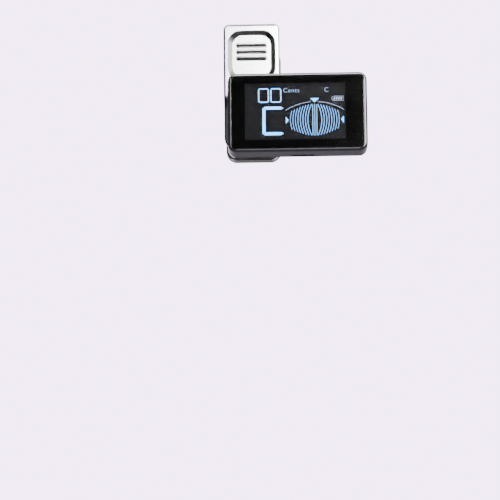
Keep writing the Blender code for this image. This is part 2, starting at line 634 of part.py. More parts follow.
def make_board(centre, board, chip, steel, plastic, metal_can):
    """Main board with its chips, crystal, switches and the charging socket."""
    low, high = BOARD_X
    half = BOARD_HALF
    cut = 4.1
    outline = [(high, half), (low + cut, half), (low, half - cut),
               (low, cut - half), (low + cut, -half), (high, -half)]
    plate = add_object("main_board", prism(outline, *BOARD_Y), centre, board)
    openings = [rounded_rect(8.0, 8.0, 0.3, (USB_X, -12.4), 1)]
    openings += [circle(BOARD_SCREW_HOLE, place, 12) for place in BOARD_SCREW_PLACES]
    cuts = bmesh.new()
    for opening in openings:
        add_loft(cuts, [(BOARD_Y[0] - 1.0, opening), (BOARD_Y[1] + 1.0, opening)])
    combine(plate, add_object("main_board_cuts", cuts, centre))

    top = BOARD_Y[1] + 0.15
    parts = (
        ("tuner_chip", -3.6, -3.2, 7.0, 7.0, 0.9, chip),
        ("amp_chip", -15.5, 9.4, 5.0, 3.9, 1.1, chip),
        ("charge_chip", -7.6, -9.8, 2.9, 1.7, 0.9, chip),
        ("crystal", 3.4, -4.4, 1.5, 3.2, 0.7, metal_can))
    for name, x, z, width, height, thick, look in parts:
        full = rounded_rect(width, height, 0.15, (x, z), 1)
        small = rounded_rect(width - 0.2, height - 0.2, 0.1, (x, z), 1)
        levels = [(top, full), (top + thick - 0.1, full), (top + thick, small)]
        add_object(name, loft(levels), centre, look)
    for name, place in BUTTON_PLACES.items():
        case = prism(rounded_rect(3.6, 3.6, 0.4, place, 1), top, -16.65)
        switch = add_object(f"{name}_switch", case, centre, plastic)
        plunger = prism(circle(0.8, place, 12), top + 0.2, -16.4)
        combine(switch, add_object(f"{name}_plunger", plunger, centre), "UNION")

    middle = (USB_X, (USB_Y[0] + USB_Y[1]) / 2)
    thick = USB_Y[1] - USB_Y[0]
    mouth, back = USB_Z
    case = prism(rounded_rect(7.5, thick, 0.5, middle, 2), mouth, back, "Z")
    shell = add_object("usb_port", case, centre, steel)
    hollow = prism(rounded_rect(6.9, thick - 0.6, 0.35, middle, 2), mouth - 1.0, back - 0.3, "Z")
    combine(shell, add_object("usb_port_hollow", hollow, centre))
    block_outline = rounded_rect(6.5, thick - 0.95, 0.2, middle, 1)
    tongue_outline = rounded_rect(3.8, 0.6, 0.1, (middle[0], middle[1] - 0.2), 1)
    tongue = loft([(back - 0.45, block_outline), (back - 1.5, block_outline), (back - 1.5, tongue_outline),
                   (mouth + 0.7, tongue_outline)], "Z")
    add_object("usb_tongue", tongue, centre, plastic)


def make_buttons(centre, look):
    """Two push buttons in the rear cover, each on its own axis, with a flange that keeps it inside."""
    flange = BUTTON_RADIUS + 0.5
    profile = [(flange, -15.95), (flange, -15.45), (BUTTON_RADIUS, -15.45), (BUTTON_RADIUS, -13.7),
               (BUTTON_RADIUS - 0.25, -13.45)]
    for name, (x, z) in BUTTON_PLACES.items():
        add_object(f"{name}_button", turned(profile, "Y", steps=24), centre, look, (x, 0.0, z))


def make_power_and_pickup(centre, pouch, tape, brass, ceramic, red, black):
    """Battery pouch with its tape and leads, and the piezo pickup behind the clip joint."""
    middle = (BATTERY_X, 0.0)
    full = rounded_rect(16.0, 18.2, 1.2, middle, 2)
    small = rounded_rect(15.2, 17.4, 1.0, middle, 2)
    add_object("battery", loft([(-18.1, small), (-17.6, full), (-16.1, full), (-15.6, small)]), centre, pouch)
    strip = block((BATTERY_X - 6.0, BATTERY_X + 6.0), (-18.38, -18.28), (-8.0, 8.0))
    add_object("battery_tape", strip, centre, tape)
    for name, z, look in (("battery_lead_plus", -6.6, red), ("battery_lead_minus", -7.9, black)):
        route = [(6.2, -16.2, z), (5.4, -16.2, z), (4.6, -16.35, z), (3.9, -16.6, z), (3.4, -16.8, z)]
        wire(name, route, 0.3, centre, look)
    add_object("piezo_plate", prism(circle(6.0, (PIEZO_X, 0.0), 32), -15.65, -15.45), centre, brass)
    add_object("piezo_ceramic", prism(circle(4.3, (PIEZO_X, 0.0), 28), -16.0, -15.8), centre, ceramic)
    y = -16.3
    for name, z, look in (("piezo_lead_1", 3.0, red), ("piezo_lead_2", 1.6, black)):
        route = [(PIEZO_X + 3.0, y, z), (PIEZO_X + 4.4, y, z), (PIEZO_X + 5.8, y - 0.1, z),
                 (PIEZO_X + 7.2, y - 0.5, z)]
        wire(name, route, 0.22, centre, look)


def build():
    """Make every sub-part on the empty of its own moving body."""
    for old in list(bpy.data.objects):
        bpy.data.objects.remove(old, do_unlink=True)

    silver = material("satin_silver", (0.72, 0.72, 0.73), 0.32, 1.0)
    casing = material("black_casing", (0.03, 0.03, 0.033), 0.35, 0.6)
    steel = material("bright_steel", (0.62, 0.62, 0.63), 0.25, 1.0)
    spring = material("spring_steel", (0.35, 0.35, 0.37), 0.3, 1.0)
    nylon = material("white_nylon", (0.8, 0.8, 0.78), 0.5, 0.0)
    rubber = material("black_rubber", (0.02, 0.02, 0.02), 0.8, 0.0)
    glass = material("black_lens", (0.01, 0.01, 0.012), 0.05, 0.0)
    lcd = material("lcd_glass", (0.06, 0.06, 0.07), 0.1, 0.0)
    plastic = material("black_plastic", (0.03, 0.03, 0.03), 0.5, 0.0)
    clear = material("light_guide", (0.85, 0.87, 0.9), 0.2, 0.0)
    board = material("circuit_board", (0.03, 0.2, 0.08), 0.45, 0.0)
    chip = material("chip_package", (0.02, 0.02, 0.022), 0.5, 0.0)
    led = material("led_package", (0.9, 0.85, 0.5), 0.3, 0.0)
    tape = material("adhesive_tape", (0.08, 0.08, 0.08), 0.7, 0.0)
    pouch = material("battery_pouch", (0.6, 0.6, 0.62), 0.35, 0.7)
    brass = material("brass", (0.75, 0.55, 0.25), 0.3, 1.0)
    ceramic = material("ceramic", (0.85, 0.83, 0.78), 0.4, 0.0)
    red = material("red_lead", (0.5, 0.02, 0.02), 0.5, 0.0)

    hinge = empty("front_clip_hinge", (0.0, HINGE_Y, HINGE_Z))
    rear = empty("rear_clip_hinge", (0.0, HINGE_Y, HINGE_Z), turn_x_deg=-REST_CLOSE_DEG)
    swivel = empty("swivel_axis", (0.0, 0.0, SWIVEL_Z))
    knuckle = empty("tilt_axis", (0.0, TILT_Y, 0.0), swivel)
    centre = empty("head_centre", (HEAD_CENTRE_X, -TILT_Y, 0.0), knuckle)

    front_arm = make_arm("front_arm", -1, FRONT_LEVER_OUT, FRONT_EAR_X, hinge, silver)
    make_arm("rear_arm", 1, REAR_LEVER_OUT, REAR_EAR_X, rear, silver)
    make_pad("front_pad", -1, hinge, rubber)
    make_pad("rear_pad", 1, rear, rubber)
    make_hinge(hinge, steel, nylon)
    make_spring(hinge, spring)
    make_swivel(front_arm, hinge, swivel, steel, silver, nylon)
    make_tilt(knuckle, steel, nylon)
    make_front_frame(centre, casing)
    make_rear_cover(centre, knuckle, casing)
    make_head_screws(centre, steel)
    make_display(centre, glass, tape, lcd, plastic, clear, board, led, rubber)
    make_board(centre, board, chip, steel, plastic, steel)
    make_buttons(centre, rubber)
    make_power_and_pickup(centre, pouch, tape, brass, ceramic, red, plastic)


build()
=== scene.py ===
"""Looks of the clip-on tuner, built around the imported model.

Shapes are drawn in millimetres in small frames of their own: one at the clip's hinge, one at the
tilt joint and one at the middle of the display head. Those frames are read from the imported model.
"""
import json
import math

import bmesh
import bpy
from mathutils import Matrix, Vector


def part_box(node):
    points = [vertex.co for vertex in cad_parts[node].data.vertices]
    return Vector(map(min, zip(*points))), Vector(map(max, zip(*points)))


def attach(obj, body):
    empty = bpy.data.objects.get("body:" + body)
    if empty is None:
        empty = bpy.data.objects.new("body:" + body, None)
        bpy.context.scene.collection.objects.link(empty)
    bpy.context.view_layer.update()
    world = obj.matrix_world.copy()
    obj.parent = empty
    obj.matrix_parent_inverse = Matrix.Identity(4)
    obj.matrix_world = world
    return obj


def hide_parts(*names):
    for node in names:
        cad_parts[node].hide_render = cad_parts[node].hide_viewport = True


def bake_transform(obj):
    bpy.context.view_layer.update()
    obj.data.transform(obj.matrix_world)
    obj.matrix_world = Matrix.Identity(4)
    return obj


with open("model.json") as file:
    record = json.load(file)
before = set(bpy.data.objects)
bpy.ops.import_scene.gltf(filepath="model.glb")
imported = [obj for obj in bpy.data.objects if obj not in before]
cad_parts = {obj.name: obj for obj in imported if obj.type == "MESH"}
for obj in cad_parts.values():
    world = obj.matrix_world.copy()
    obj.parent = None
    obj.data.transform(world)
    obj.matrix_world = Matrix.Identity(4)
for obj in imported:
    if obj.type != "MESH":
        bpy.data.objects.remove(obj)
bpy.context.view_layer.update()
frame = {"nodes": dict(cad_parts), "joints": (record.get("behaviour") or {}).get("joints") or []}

MM = 0.001
JOINTS = {joint["name"]: joint for joint in frame["joints"]}
HINGE = Vector(JOINTS["clip_open"]["pos_m"])
TILT = Vector(JOINTS["head_tilt"]["pos_m"])
HEAD_LOW, HEAD_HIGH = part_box("front_frame")
HEAD = Vector(((HEAD_LOW.x + HEAD_HIGH.x) / 2, 0.0, (HEAD_LOW.z + HEAD_HIGH.z) / 2))
ARM_LOW, ARM_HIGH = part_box("front_arm")

AT_HINGE = Matrix.Translation(HINGE)
REST_CLOSE = math.radians(-16.0)
AT_REAR_ARM = AT_HINGE @ Matrix.Rotation(REST_CLOSE, 4, "X")
AT_TILT = Matrix.Translation(TILT)
AT_HEAD = Matrix.Translation(HEAD)

# Clip, measured from the hinge axis; "out" is towards the outside of the clip.
CLIP_WIDTH = (ARM_HIGH.x - ARM_LOW.x) / MM
CLIP_TOP = (ARM_HIGH.z - HINGE.z) / MM
CLIP_BOTTOM = (ARM_LOW.z - HINGE.z) / MM
JAW_INNER = 8.4
JAW_OUTER = 11.9
LEVER_THICK = 2.6
LEVER_FOOT_Z = -6.1
# How far out each lever's face lies at its foot and its tip, and the span of its ears along the hinge.
FRONT_LEVER = (14.3, 15.3)
REAR_LEVER = (11.9, 12.6)
FRONT_EARS = (7.8, 9.4)
REAR_EARS = (6.0, 7.5)
EAR_RADIUS = 3.2
STOP_PLACE = (-1.98, -7.62)
STOP_SPAN = (7.0, 9.2)
# Sizes of the jaw pad and its pocket: width, height and corner radius.
PAD_SIZE = (16.4, 14.0, 3.0)
POCKET_SIZE = (16.8, 14.4, 3.2)
PAD_CENTRE_Z = -HINGE.z / MM
PAD_FACE = HINGE.y / MM
DISH_Z = 9.7
DISH_DEPTH = 1.2
# Thumb dish, by height over the lever's face: height, width, length and corner radius.
DISH_LEVELS = ((0.5, 18.3, 19.5, 5.3), (-0.1, 17.7, 18.9, 5.0), (-DISH_DEPTH, 14.3, 15.8, 4.0))
RIB_LENGTH = 11.6
RIB_TOP = 4.4
RIB_PITCH = 2.45
# Grip rib, by height over the dish's floor: height, lower edge and upper edge.
RIB_SECTION = (
    (-0.3, -1.32, 0.66), (0.0, -1.3, 0.66), (0.13, -1.15, 0.66), (0.3, -0.96, 0.65), (0.48, -0.74, 0.62),
    (0.64, -0.53, 0.57), (0.77, -0.33, 0.49), (0.85, -0.16, 0.4), (0.89, -0.03, 0.29), (0.9, 0.05, 0.2))

# Display head, measured from its middle; y stays the model's own y.
HEAD_WIDTH = (HEAD_HIGH.x - HEAD_LOW.x) / MM
HEAD_HEIGHT = (HEAD_HIGH.z - HEAD_LOW.z) / MM
HEAD_CORNER = 3.0
FRONT_Y = HEAD_LOW.y / MM
SPLIT_Y = HEAD_HIGH.y / MM
LENS_BACK_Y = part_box("display_lens")[1].y / MM
LCD_FRONT_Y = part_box("lcd_panel")[0].y / MM
COVER_INNER_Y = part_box("rear_cover")[0].y / MM
COVER_REAR_Y = -14.0
SEAT_INSET = 0.96
# Bright cut chamfer round the lens: distance behind the front face, and inset from the outline.
CHAMFER = ((0.0, 0.93), (0.02, 0.9), (0.12, 0.61))
WEB_Y = (-23.55, -22.75)
WINDOW = ((-18.95, 17.25), (-10.05, 10.8))
SCREW_PLACE = (22.3, 11.5)
LIT_Y = LCD_FRONT_Y - 0.06
LIT_THICK = 0.03

# Part of a noise texture's output that is spread over a look's whole range.
NOISE_LOW, NOISE_HIGH = 0.3, 0.7
# Patches of light and shade in the studio: light is added or multiplied, towards an azimuth and elevation,
# fully within the first angle and not at all beyond the second, by an amount.
STUDIO_PATCHES = (
    ("ADD", 20.0, 95.0, 30.0, 60.0, 1.1), ("ADD", 46.0, 14.0, 14.0, 24.0, 1.5),
    ("ADD", 180.0, 42.0, 30.0, 52.0, 1.0), ("ADD", 128.0, -48.0, 12.0, 30.0, 0.9),
    ("ADD", -128.0, -48.0, 12.0, 30.0, 0.9), ("MULTIPLY", 180.0, -30.0, 18.0, 34.0, 0.35),
    ("MULTIPLY", -88.0, 8.0, 56.0, 67.0, 0.05), ("MULTIPLY", 0.0, -56.0, 46.0, 62.0, 0.05),
    ("MULTIPLY", 0.0, 8.0, 13.0, 22.0, 0.14), ("ADD", 0.0, -26.0, 5.0, 10.0, 0.16),
    ("ADD", 180.0, -6.0, 8.0, 16.0, 0.2))
STUDIO_LIGHT = 0.4
BACKDROP = (0.58, 0.435, 0.66)
BACKDROP_GLOW = 10.0
FLOOR_Z = -0.42


# ---------- materials

def principled(name, color, roughness, metallic=0.0):
    """A Principled material and its node tree and shader."""
    made = bpy.data.materials.new(name)
    made.use_nodes = True
    shader = made.node_tree.nodes["Principled BSDF"]
    shader.inputs["Base Color"].default_value = (*color, 1.0)
    shader.inputs["Roughness"].default_value = roughness
    shader.inputs["Metallic"].default_value = metallic
    made.diffuse_color = (*color, 1.0)
    return made, made.node_tree, shader


def noise(tree, scale, detail=3.0, stretch=None):
    """Noise in the piece's own space; scale is in features per metre."""
    texture = tree.nodes.new("ShaderNodeTexNoise")
    texture.inputs["Scale"].default_value = scale
    texture.inputs["Detail"].default_value = detail
    place = tree.nodes.new("ShaderNodeTexCoord")
    if stretch is None:
        tree.links.new(place.outputs["Object"], texture.inputs["Vector"])
    else:
        mapping = tree.nodes.new("ShaderNodeMapping")
        mapping.inputs["Scale"].default_value = stretch
        tree.links.new(place.outputs["Object"], mapping.inputs["Vector"])
        tree.links.new(mapping.outputs["Vector"], texture.inputs["Vector"])
    return texture.outputs["Fac"]


def between(tree, source, low, high):
    """Spread a noise value over a range."""
    node = tree.nodes.new("ShaderNodeMapRange")
    node.inputs["From Min"].default_value = NOISE_LOW
    node.inputs["From Max"].default_value = NOISE_HIGH
    node.inputs["To Min"].default_value = low
    node.inputs["To Max"].default_value = high
    tree.links.new(source, node.inputs["Value"])
    return node.outputs["Result"]


def blend_colors(tree, shader, factor, first, second):
    """Vary the base colour between two colours."""
    node = tree.nodes.new("ShaderNodeMix")
    node.data_type = "RGBA"
    node.inputs["A"].default_value = (*first, 1.0)
    node.inputs["B"].default_value = (*second, 1.0)
    tree.links.new(factor, node.inputs["Factor"])
    tree.links.new(node.outputs["Result"], shader.inputs["Base Color"])


def add_bump(tree, shader, height, depth, strength):
    """Raise the surface by a height value; depth is in metres."""
    node = tree.nodes.new("ShaderNodeBump")
    node.inputs["Strength"].default_value = strength
    node.inputs["Distance"].default_value = depth
    tree.links.new(height, node.inputs["Height"])
    tree.links.new(node.outputs["Normal"], shader.inputs["Normal"])


def grained(name, light, dark, roughness, grain=4500.0, depth=0.00001, cloud=(300.0, 3.0), metallic=0.0,
            strength=0.5):
    """Moulded, cast or coated surface: cloudy colour over a fine grain that also varies the roughness."""
    made, tree, shader = principled(name, light, roughness[0], metallic)
    blend_colors(tree, shader, between(tree, noise(tree, *cloud), 0.0, 1.0), light, dark)
    fine = noise(tree, grain, 2.0)
    tree.links.new(between(tree, fine, *roughness), shader.inputs["Roughness"])
    add_bump(tree, shader, fine, depth, strength)
    return made


def turned_metal(name, light, dark, roughness, stretch=(1.0, 1.0, 1.0), scale=2500.0, depth=0.000004):
    """Machined or drawn metal with fine lines along one direction."""
    made, tree, shader = principled(name, light, roughness[0], 1.0)
    lines = noise(tree, scale, 3.0, stretch)
    blend_colors(tree, shader, between(tree, lines, 0.0, 1.0), light, dark)
    tree.links.new(between(tree, lines, *roughness), shader.inputs["Roughness"])
    add_bump(tree, shader, lines, depth, 0.4)
    return made


def with_gloss(look, specular):
    """Set how much a material mirrors; next to nothing for those bonded behind the lens."""
    look.node_tree.nodes["Principled BSDF"].inputs["Specular IOR Level"].default_value = specular
    return look


def clear_lens(name):
    """Clear hard-coated acrylic."""
    made, tree, shader = principled(name, (1.0, 1.0, 1.0), 0.02)
    shader.inputs["Transmission Weight"].default_value = 1.0
    shader.inputs["IOR"].default_value = 1.49
    smear = noise(tree, 60.0, 4.0)
    tree.links.new(between(tree, smear, 0.008, 0.035), shader.inputs["Roughness"])
    return made


def glowing(name, color, strength, grounds=((0.004, 0.004, 0.004), (0.006, 0.006, 0.006)), roughness=0.5,
            cell=(3000.0, 1.0)):
    """A dark ground that gives off light: a lit segment, or the display round it."""
    made, tree, shader = principled(name, grounds[0], roughness)
    shader.inputs["Emission Color"].default_value = (*color, 1.0)
    shader.inputs["Emission Strength"].default_value = strength
    blend_colors(tree, shader, between(tree, noise(tree, *cell), 0.0, 1.0), *grounds)
    return made


LOOKS = {
    "silver": grained("satin_silver", (0.93, 0.93, 0.935), (0.88, 0.88, 0.89), (0.17, 0.23), 7000.0,
                      0.000003, (350.0, 4.0), 1.0, 0.35),
    "silver_polished": turned_metal("cut_chamfer", (0.93, 0.93, 0.94), (0.88, 0.88, 0.9), (0.10, 0.18)),
    "casing": with_gloss(grained("black_casing", (0.005, 0.005, 0.006), (0.008, 0.008, 0.0095),
                                 (0.24, 0.32), 9000.0, 0.000004, (500.0, 3.0), strength=0.4), 0.3),
    "steel": turned_metal("bright_steel", (0.72, 0.72, 0.73), (0.62, 0.62, 0.64), (0.18, 0.30),
                          (1.0, 6.0, 6.0)),
    "spring": turned_metal("spring_steel", (0.5, 0.5, 0.52), (0.42, 0.42, 0.44), (0.22, 0.3),
                           scale=9000.0, depth=0.000001),
    "nylon": grained("white_nylon", (0.78, 0.78, 0.75), (0.72, 0.72, 0.69), (0.42, 0.55)),
    "rubber": grained("black_rubber", (0.012, 0.012, 0.013), (0.02, 0.02, 0.021), (0.65, 0.85), 3500.0,
                      0.00003),
    "button": grained("button_rubber", (0.026, 0.026, 0.028), (0.034, 0.034, 0.037), (0.5, 0.66), 5000.0),
    "plastic": grained("black_plastic", (0.010, 0.010, 0.011), (0.016, 0.016, 0.017), (0.38, 0.5)),
    "print": with_gloss(grained("lens_print", (0.001, 0.001, 0.0012), (0.0016, 0.0016, 0.0019),
                                (0.5, 0.6)), 0.0),
    "lens": clear_lens("clear_lens"),
    "unlit": with_gloss(glowing("lcd_glass", (0.8, 0.82, 0.97), 0.019,
                                ((0.002, 0.002, 0.0025), (0.003, 0.003, 0.0035)), 0.25, (60.0, 2.0)), 0.05),
    "board": grained("circuit_board", (0.02, 0.15, 0.06), (0.03, 0.2, 0.08), (0.3, 0.42), 2500.0, 0.00002,
                     (900.0, 3.0)),
    "chip": grained("chip_package", (0.02, 0.02, 0.022), (0.03, 0.03, 0.032), (0.5, 0.62)),
    "guide": grained("light_guide", (0.8, 0.83, 0.88), (0.86, 0.88, 0.92), (0.2, 0.3)),
    "led": grained("led_package", (0.85, 0.75, 0.3), (0.9, 0.82, 0.4), (0.3, 0.4)),
    "tape": grained("adhesive_tape", (0.05, 0.05, 0.05), (0.08, 0.08, 0.08), (0.7, 0.8)),
    "pouch": turned_metal("battery_pouch", (0.66, 0.66, 0.68), (0.6, 0.6, 0.62), (0.3, 0.42)),
    "brass": turned_metal("brass_plate", (0.8, 0.6, 0.28), (0.72, 0.52, 0.22), (0.25, 0.36)),
    "ceramic": grained("ceramic", (0.8, 0.79, 0.74), (0.86, 0.85, 0.8), (0.35, 0.5)),
    "red": grained("red_lead", (0.5, 0.02, 0.02), (0.56, 0.04, 0.03), (0.4, 0.5)),
    "lit": with_gloss(glowing("lit_segment", (0.09, 0.44, 1.0), 6.5), 0.0),
    "lit_text": with_gloss(glowing("lit_text", (0.38, 0.55, 0.95), 2.2), 0.0),
    "lit_fine": with_gloss(glowing("lit_fine", (0.46, 0.6, 0.88), 4.2), 0.0),
    "lit_stripe": with_gloss(glowing("lit_stripe", (0.16, 0.46, 1.0), 3.4), 0.0),
}


# ---------- mesh helpers

def rounded_outline(corners, steps=6):
    """Points of an outline whose corners, given as (a, b, radius), are rounded by arcs."""
    points = []
    for index, (a, b, radius) in enumerate(corners):
        here = Vector((a, b))
        before = (Vector(corners[index - 1][:2]) - here).normalized()
        after = (Vector(corners[(index + 1) % len(corners)][:2]) - here).normalized()
        half = before.angle(after) / 2.0
        if radius <= 0.0 or half > math.radians(89.9):
            points.append((a, b))
            continue
        reach = radius / math.tan(half)
        centre = here + (before + after).normalized() * (radius / math.sin(half))
        start = here + before * reach - centre
        end = here + after * reach - centre
        sweep = -start.angle_signed(end)
        for step in range(steps + 1):
            turn = sweep * step / steps
            points.append((
                centre.x + start.x * math.cos(turn) - start.y * math.sin(turn),
                centre.y + start.x * math.sin(turn) + start.y * math.cos(turn)))
    return points


def rounded_rect(width, height, radius, centre=(0.0, 0.0), steps=6):
    """Outline of a rectangle with rounded corners."""
    a = width / 2.0
    b = height / 2.0
    x, z = centre
    corners = ((x + a, z + b), (x - a, z + b), (x - a, z - b), (x + a, z - b))
    return rounded_outline([(*corner, radius) for corner in corners], steps)


def circle(radius, centre=(0.0, 0.0), steps=48):
    """Outline of a circle."""
    return [
        (centre[0] + radius * math.cos(2.0 * math.pi * step / steps),
         centre[1] + radius * math.sin(2.0 * math.pi * step / steps)) for step in range(steps)]


def to_axis(axis, a, b, along):
    """A point of an outline (a, b) at a place along the given axis."""
    if axis == "X":
        return (along, a, b)
    if axis == "Y":
        return (a, along, b)
    return (a, b, along)


def add_loft(bm, levels, axis="Y"):
    """Join outlines of equal length, each given as (place along the axis, outline), into a closed solid."""
    rings = [[bm.verts.new(to_axis(axis, a, b, along)) for a, b in outline] for along, outline in levels]
    count = len(rings[0])
    bm.faces.new(rings[0])
    bm.faces.new(rings[-1])
    for low, high in zip(rings, rings[1:]):
        for index in range(count):
            following = (index + 1) % count
            bm.faces.new((low[index], low[following], high[following], high[index]))


def loft(levels, axis="Y"):
    """A closed solid through the given levels."""
    bm = bmesh.new()
    add_loft(bm, levels, axis)
    return bm


def prism(outline, low, high, axis="Y"):
    """One outline drawn out between two places along an axis."""
    return loft([(low, outline), (high, outline)], axis)


def block(x, y, z):
    """A box between the given limits."""
    return prism([(x[0], z[0]), (x[1], z[0]), (x[1], z[1]), (x[0], z[1])], y[0], y[1])


def turned(profile, axis, centre=(0.0, 0.0), steps=48):
    """A round solid along an axis; the profile lists (radius, place along the axis) from end to end."""
    return loft([(along, circle(radius, centre, steps)) for radius, along in profile], axis)


def fillet_levels(place, direction, radius, steps=4):
    """Levels of a rounded edge: pairs of (place, inset), from the flat end to the full outline."""
    levels = []
    for step in range(steps + 1):
        turn = math.pi / 2.0 * step / steps
        levels.append((place + direction * radius * (1.0 - math.cos(turn)), radius * (1.0 - math.sin(turn))))
    return levels


def new_object(name, bm, place, look=None):
    """A mesh object from shapes drawn in millimetres in the frame of a place."""
    bmesh.ops.recalc_face_normals(bm, faces=bm.faces)
    bmesh.ops.transform(bm, matrix=place @ Matrix.Scale(MM, 4), verts=bm.verts)
    mesh = bpy.data.meshes.new(name)
    bm.to_mesh(mesh)
    bm.free()
    if look is not None:
        mesh.materials.append(LOOKS[look])
    made = bpy.data.objects.new(name, mesh)
    bpy.context.scene.collection.objects.link(made)
    return made


def settle(target):
    """Apply every modifier of an object."""
    bpy.context.view_layer.update()
    graph = bpy.context.evaluated_depsgraph_get()
    mesh = bpy.data.meshes.new_from_object(target.evaluated_get(graph))
    target.modifiers.clear()
    target.data = mesh
    return target


def combine(target, bm, place, operation="DIFFERENCE"):
    """Cut, join or limit the target with a shape, and apply it."""
    tool = new_object("tool", bm, place)
    modifier = target.modifiers.new("combine", "BOOLEAN")
    modifier.operation = operation
    modifier.solver = "EXACT"
    modifier.object = tool
    settle(target)
    bpy.data.objects.remove(tool, do_unlink=True)


def soften(target, width, segments=3, angle=35.0, clamp=True):
    """Round every sharp edge and shade the result smooth."""
    modifier = target.modifiers.new("soften", "BEVEL")
    modifier.width = width * MM
    modifier.segments = segments
    modifier.limit_method = "ANGLE"
    modifier.angle_limit = math.radians(angle)
    modifier.use_clamp_overlap = clamp
    modifier.harden_normals = False
    settle(target)
    shade(target)


def shade(target, angle=32.0):
    """Shade smooth, with large faces kept flat and edges sharper than the angle kept sharp."""
    target.data.shade_smooth()
    target.data.set_sharp_from_angle(angle=math.radians(angle))
    modifier = target.modifiers.new("flats", "WEIGHTED_NORMAL")
    modifier.keep_sharp = True
    settle(target)


def paint(target, look, chosen):
    """Give the faces that pass a test a second material; the test gets the face centre in millimetres."""
    target.data.materials.append(LOOKS[look])
    index = len(target.data.materials) - 1
    for face in target.data.polygons:
        if chosen(face.center / MM, face.normal):
            face.material_index = index


def hand_in(piece, body, slot, *nodes):
    """Let a piece ride on its body and stand for its CAD nodes, which are hidden; the slot is not used."""
    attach(piece, body)
    if nodes:
        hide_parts(*nodes)


def tube(points, radius, sides=14):
    """A round wire along a smooth path, with rounded-off ends."""
    path = [Vector(point) for point in points]
    bm = bmesh.new()
    heading = (path[1] - path[0]).normalized()
    across = heading.orthogonal().normalized()
    rings = []
    for index, point in enumerate(path):
        before = path[max(index - 1, 0)]
        after = path[min(index + 1, len(path) - 1)]
        heading = (after - before).normalized()
        across = (across - heading * across.dot(heading)).normalized()
        over = heading.cross(across)
        spots = [(0.0, 1.0)]
        if index == 0:
            spots = [(-0.35, 0.6), (-0.15, 0.9), (0.0, 1.0)]
        if index == len(path) - 1:
            spots = [(0.0, 1.0), (0.15, 0.9), (0.35, 0.6)]
        for along, share in spots:
            middle = point + heading * radius * along
            turns = [2 * math.pi * side / sides for side in range(sides)]
            spokes = [across * math.cos(turn) + over * math.sin(turn) for turn in turns]
            rings.append([bm.verts.new(middle + spoke * radius * share) for spoke in spokes])
    bm.faces.new(rings[0])
    bm.faces.new(rings[-1])
    for low, high in zip(rings, rings[1:]):
        for side in range(sides):
            following = (side + 1) % sides
            bm.faces.new((low[side], low[following], high[following], high[side]))
    return bm


# ---------- clip

def make_arm(name, body, side, place, lever, ears):
    """One cast clip arm: jaw, lever with side cheeks, hinge ears, pad pocket and thumb dish."""
    foot, tip = lever
    profile = rounded_outline([
        (JAW_INNER, CLIP_BOTTOM, 0.85), (JAW_OUTER, CLIP_BOTTOM, 1.2), (JAW_OUTER, -9.3, 2.5),
        (foot, LEVER_FOOT_Z, 2.0), (tip, CLIP_TOP, 0.85), (tip - LEVER_THICK, CLIP_TOP, 0.85),
        (foot - LEVER_THICK, -4.3, 2.0), (JAW_INNER, -7.9, 1.0)])
    half = CLIP_WIDTH / 2
    shape = prism([(side * out, z) for out, z in profile], -half, half, "X")
    arm = new_object(f"{name}_cast", shape, place, "silver")

    outline = rounded_outline([
        (half, CLIP_TOP, 2.3), (-half, CLIP_TOP, 2.3),
        (-half, CLIP_BOTTOM, 4.5), (half, CLIP_BOTTOM, 4.5)], 10)
    combine(arm, prism(outline, side * -6.0, side * 20.0), place, "INTERSECT")
    soften(arm, 0.75, 5, 50.0, False)

    middle = foot - LEVER_THICK / 2
    ear_end = [(-EAR_RADIUS, -EAR_RADIUS, EAR_RADIUS - 0.01)]
    if side > 0:  # the rear arm's ears reach down to carry the stops
        ear_end = [(-3.5, -8.8, 1.4), (-0.4, -8.8, 1.4)]
    cheek = rounded_outline([
        (middle + 0.5, CLIP_TOP - 2.0, 0.3), (tip - LEVER_THICK - 1.9, CLIP_TOP - 2.0, 1.2),
        (foot - LEVER_THICK - 1.6, 7.0, 3.0), (-EAR_RADIUS, EAR_RADIUS, EAR_RADIUS - 0.01),
        *ear_end, (JAW_INNER + 1.4, -7.2, 0.0), (middle, -5.0, 0.0)], steps=10)
    cheek = [(side * out, z) for out, z in cheek]
    for low, high in (ears, (-ears[1], -ears[0])):
        combine(arm, prism(cheek, low, high, "X"), place, "UNION")
    if side > 0:
        for low, high in (STOP_SPAN, (-STOP_SPAN[1], -STOP_SPAN[0])):
            combine(arm, prism(circle(1.0, STOP_PLACE, 24), low, high, "X"), place, "UNION")

    pocket = rounded_rect(*POCKET_SIZE, (0.0, PAD_CENTRE_Z))
    combine(arm, prism(pocket, side * (JAW_INNER - 1.0), side * (JAW_INNER + 1.0)), place)
    hinge_bore = circle(1.4, steps=32)
    combine(arm, prism(hinge_bore, -12.0, 12.0, "X"), place)

    lean = math.atan2(tip - foot, CLIP_TOP - LEVER_FOOT_Z)
    face = foot + (DISH_Z - LEVER_FOOT_Z) * math.tan(lean)
    dish_place = (place @ Matrix.Translation(Vector((0.0, side * face, DISH_Z)) * MM)
                  @ Matrix.Rotation(side * -lean, 4, "X"))
    dish = [(side * rise, rounded_rect(width, length, corner, steps=10))
            for rise, width, length, corner in DISH_LEVELS]
    combine(arm, loft(dish), dish_place)
    if side < 0:  # the front arm holds the swivel screw
        in_arm = (0.0, (TILT.z - HINGE.z) / MM)
        head_bore, screw_bore = circle(2.6, in_arm), circle(1.2, in_arm, 24)
        combine(arm, prism(head_bore, -(JAW_INNER - 1.0), -(JAW_INNER + 2.5)), place)
        combine(arm, prism(screw_bore, -JAW_INNER, -(JAW_OUTER + 1.0)), place)
    soften(arm, 0.14, 2, 25.0)
    hand_in(arm, body, "satin_silver", name)
    make_ribs(name, body, side, dish_place)


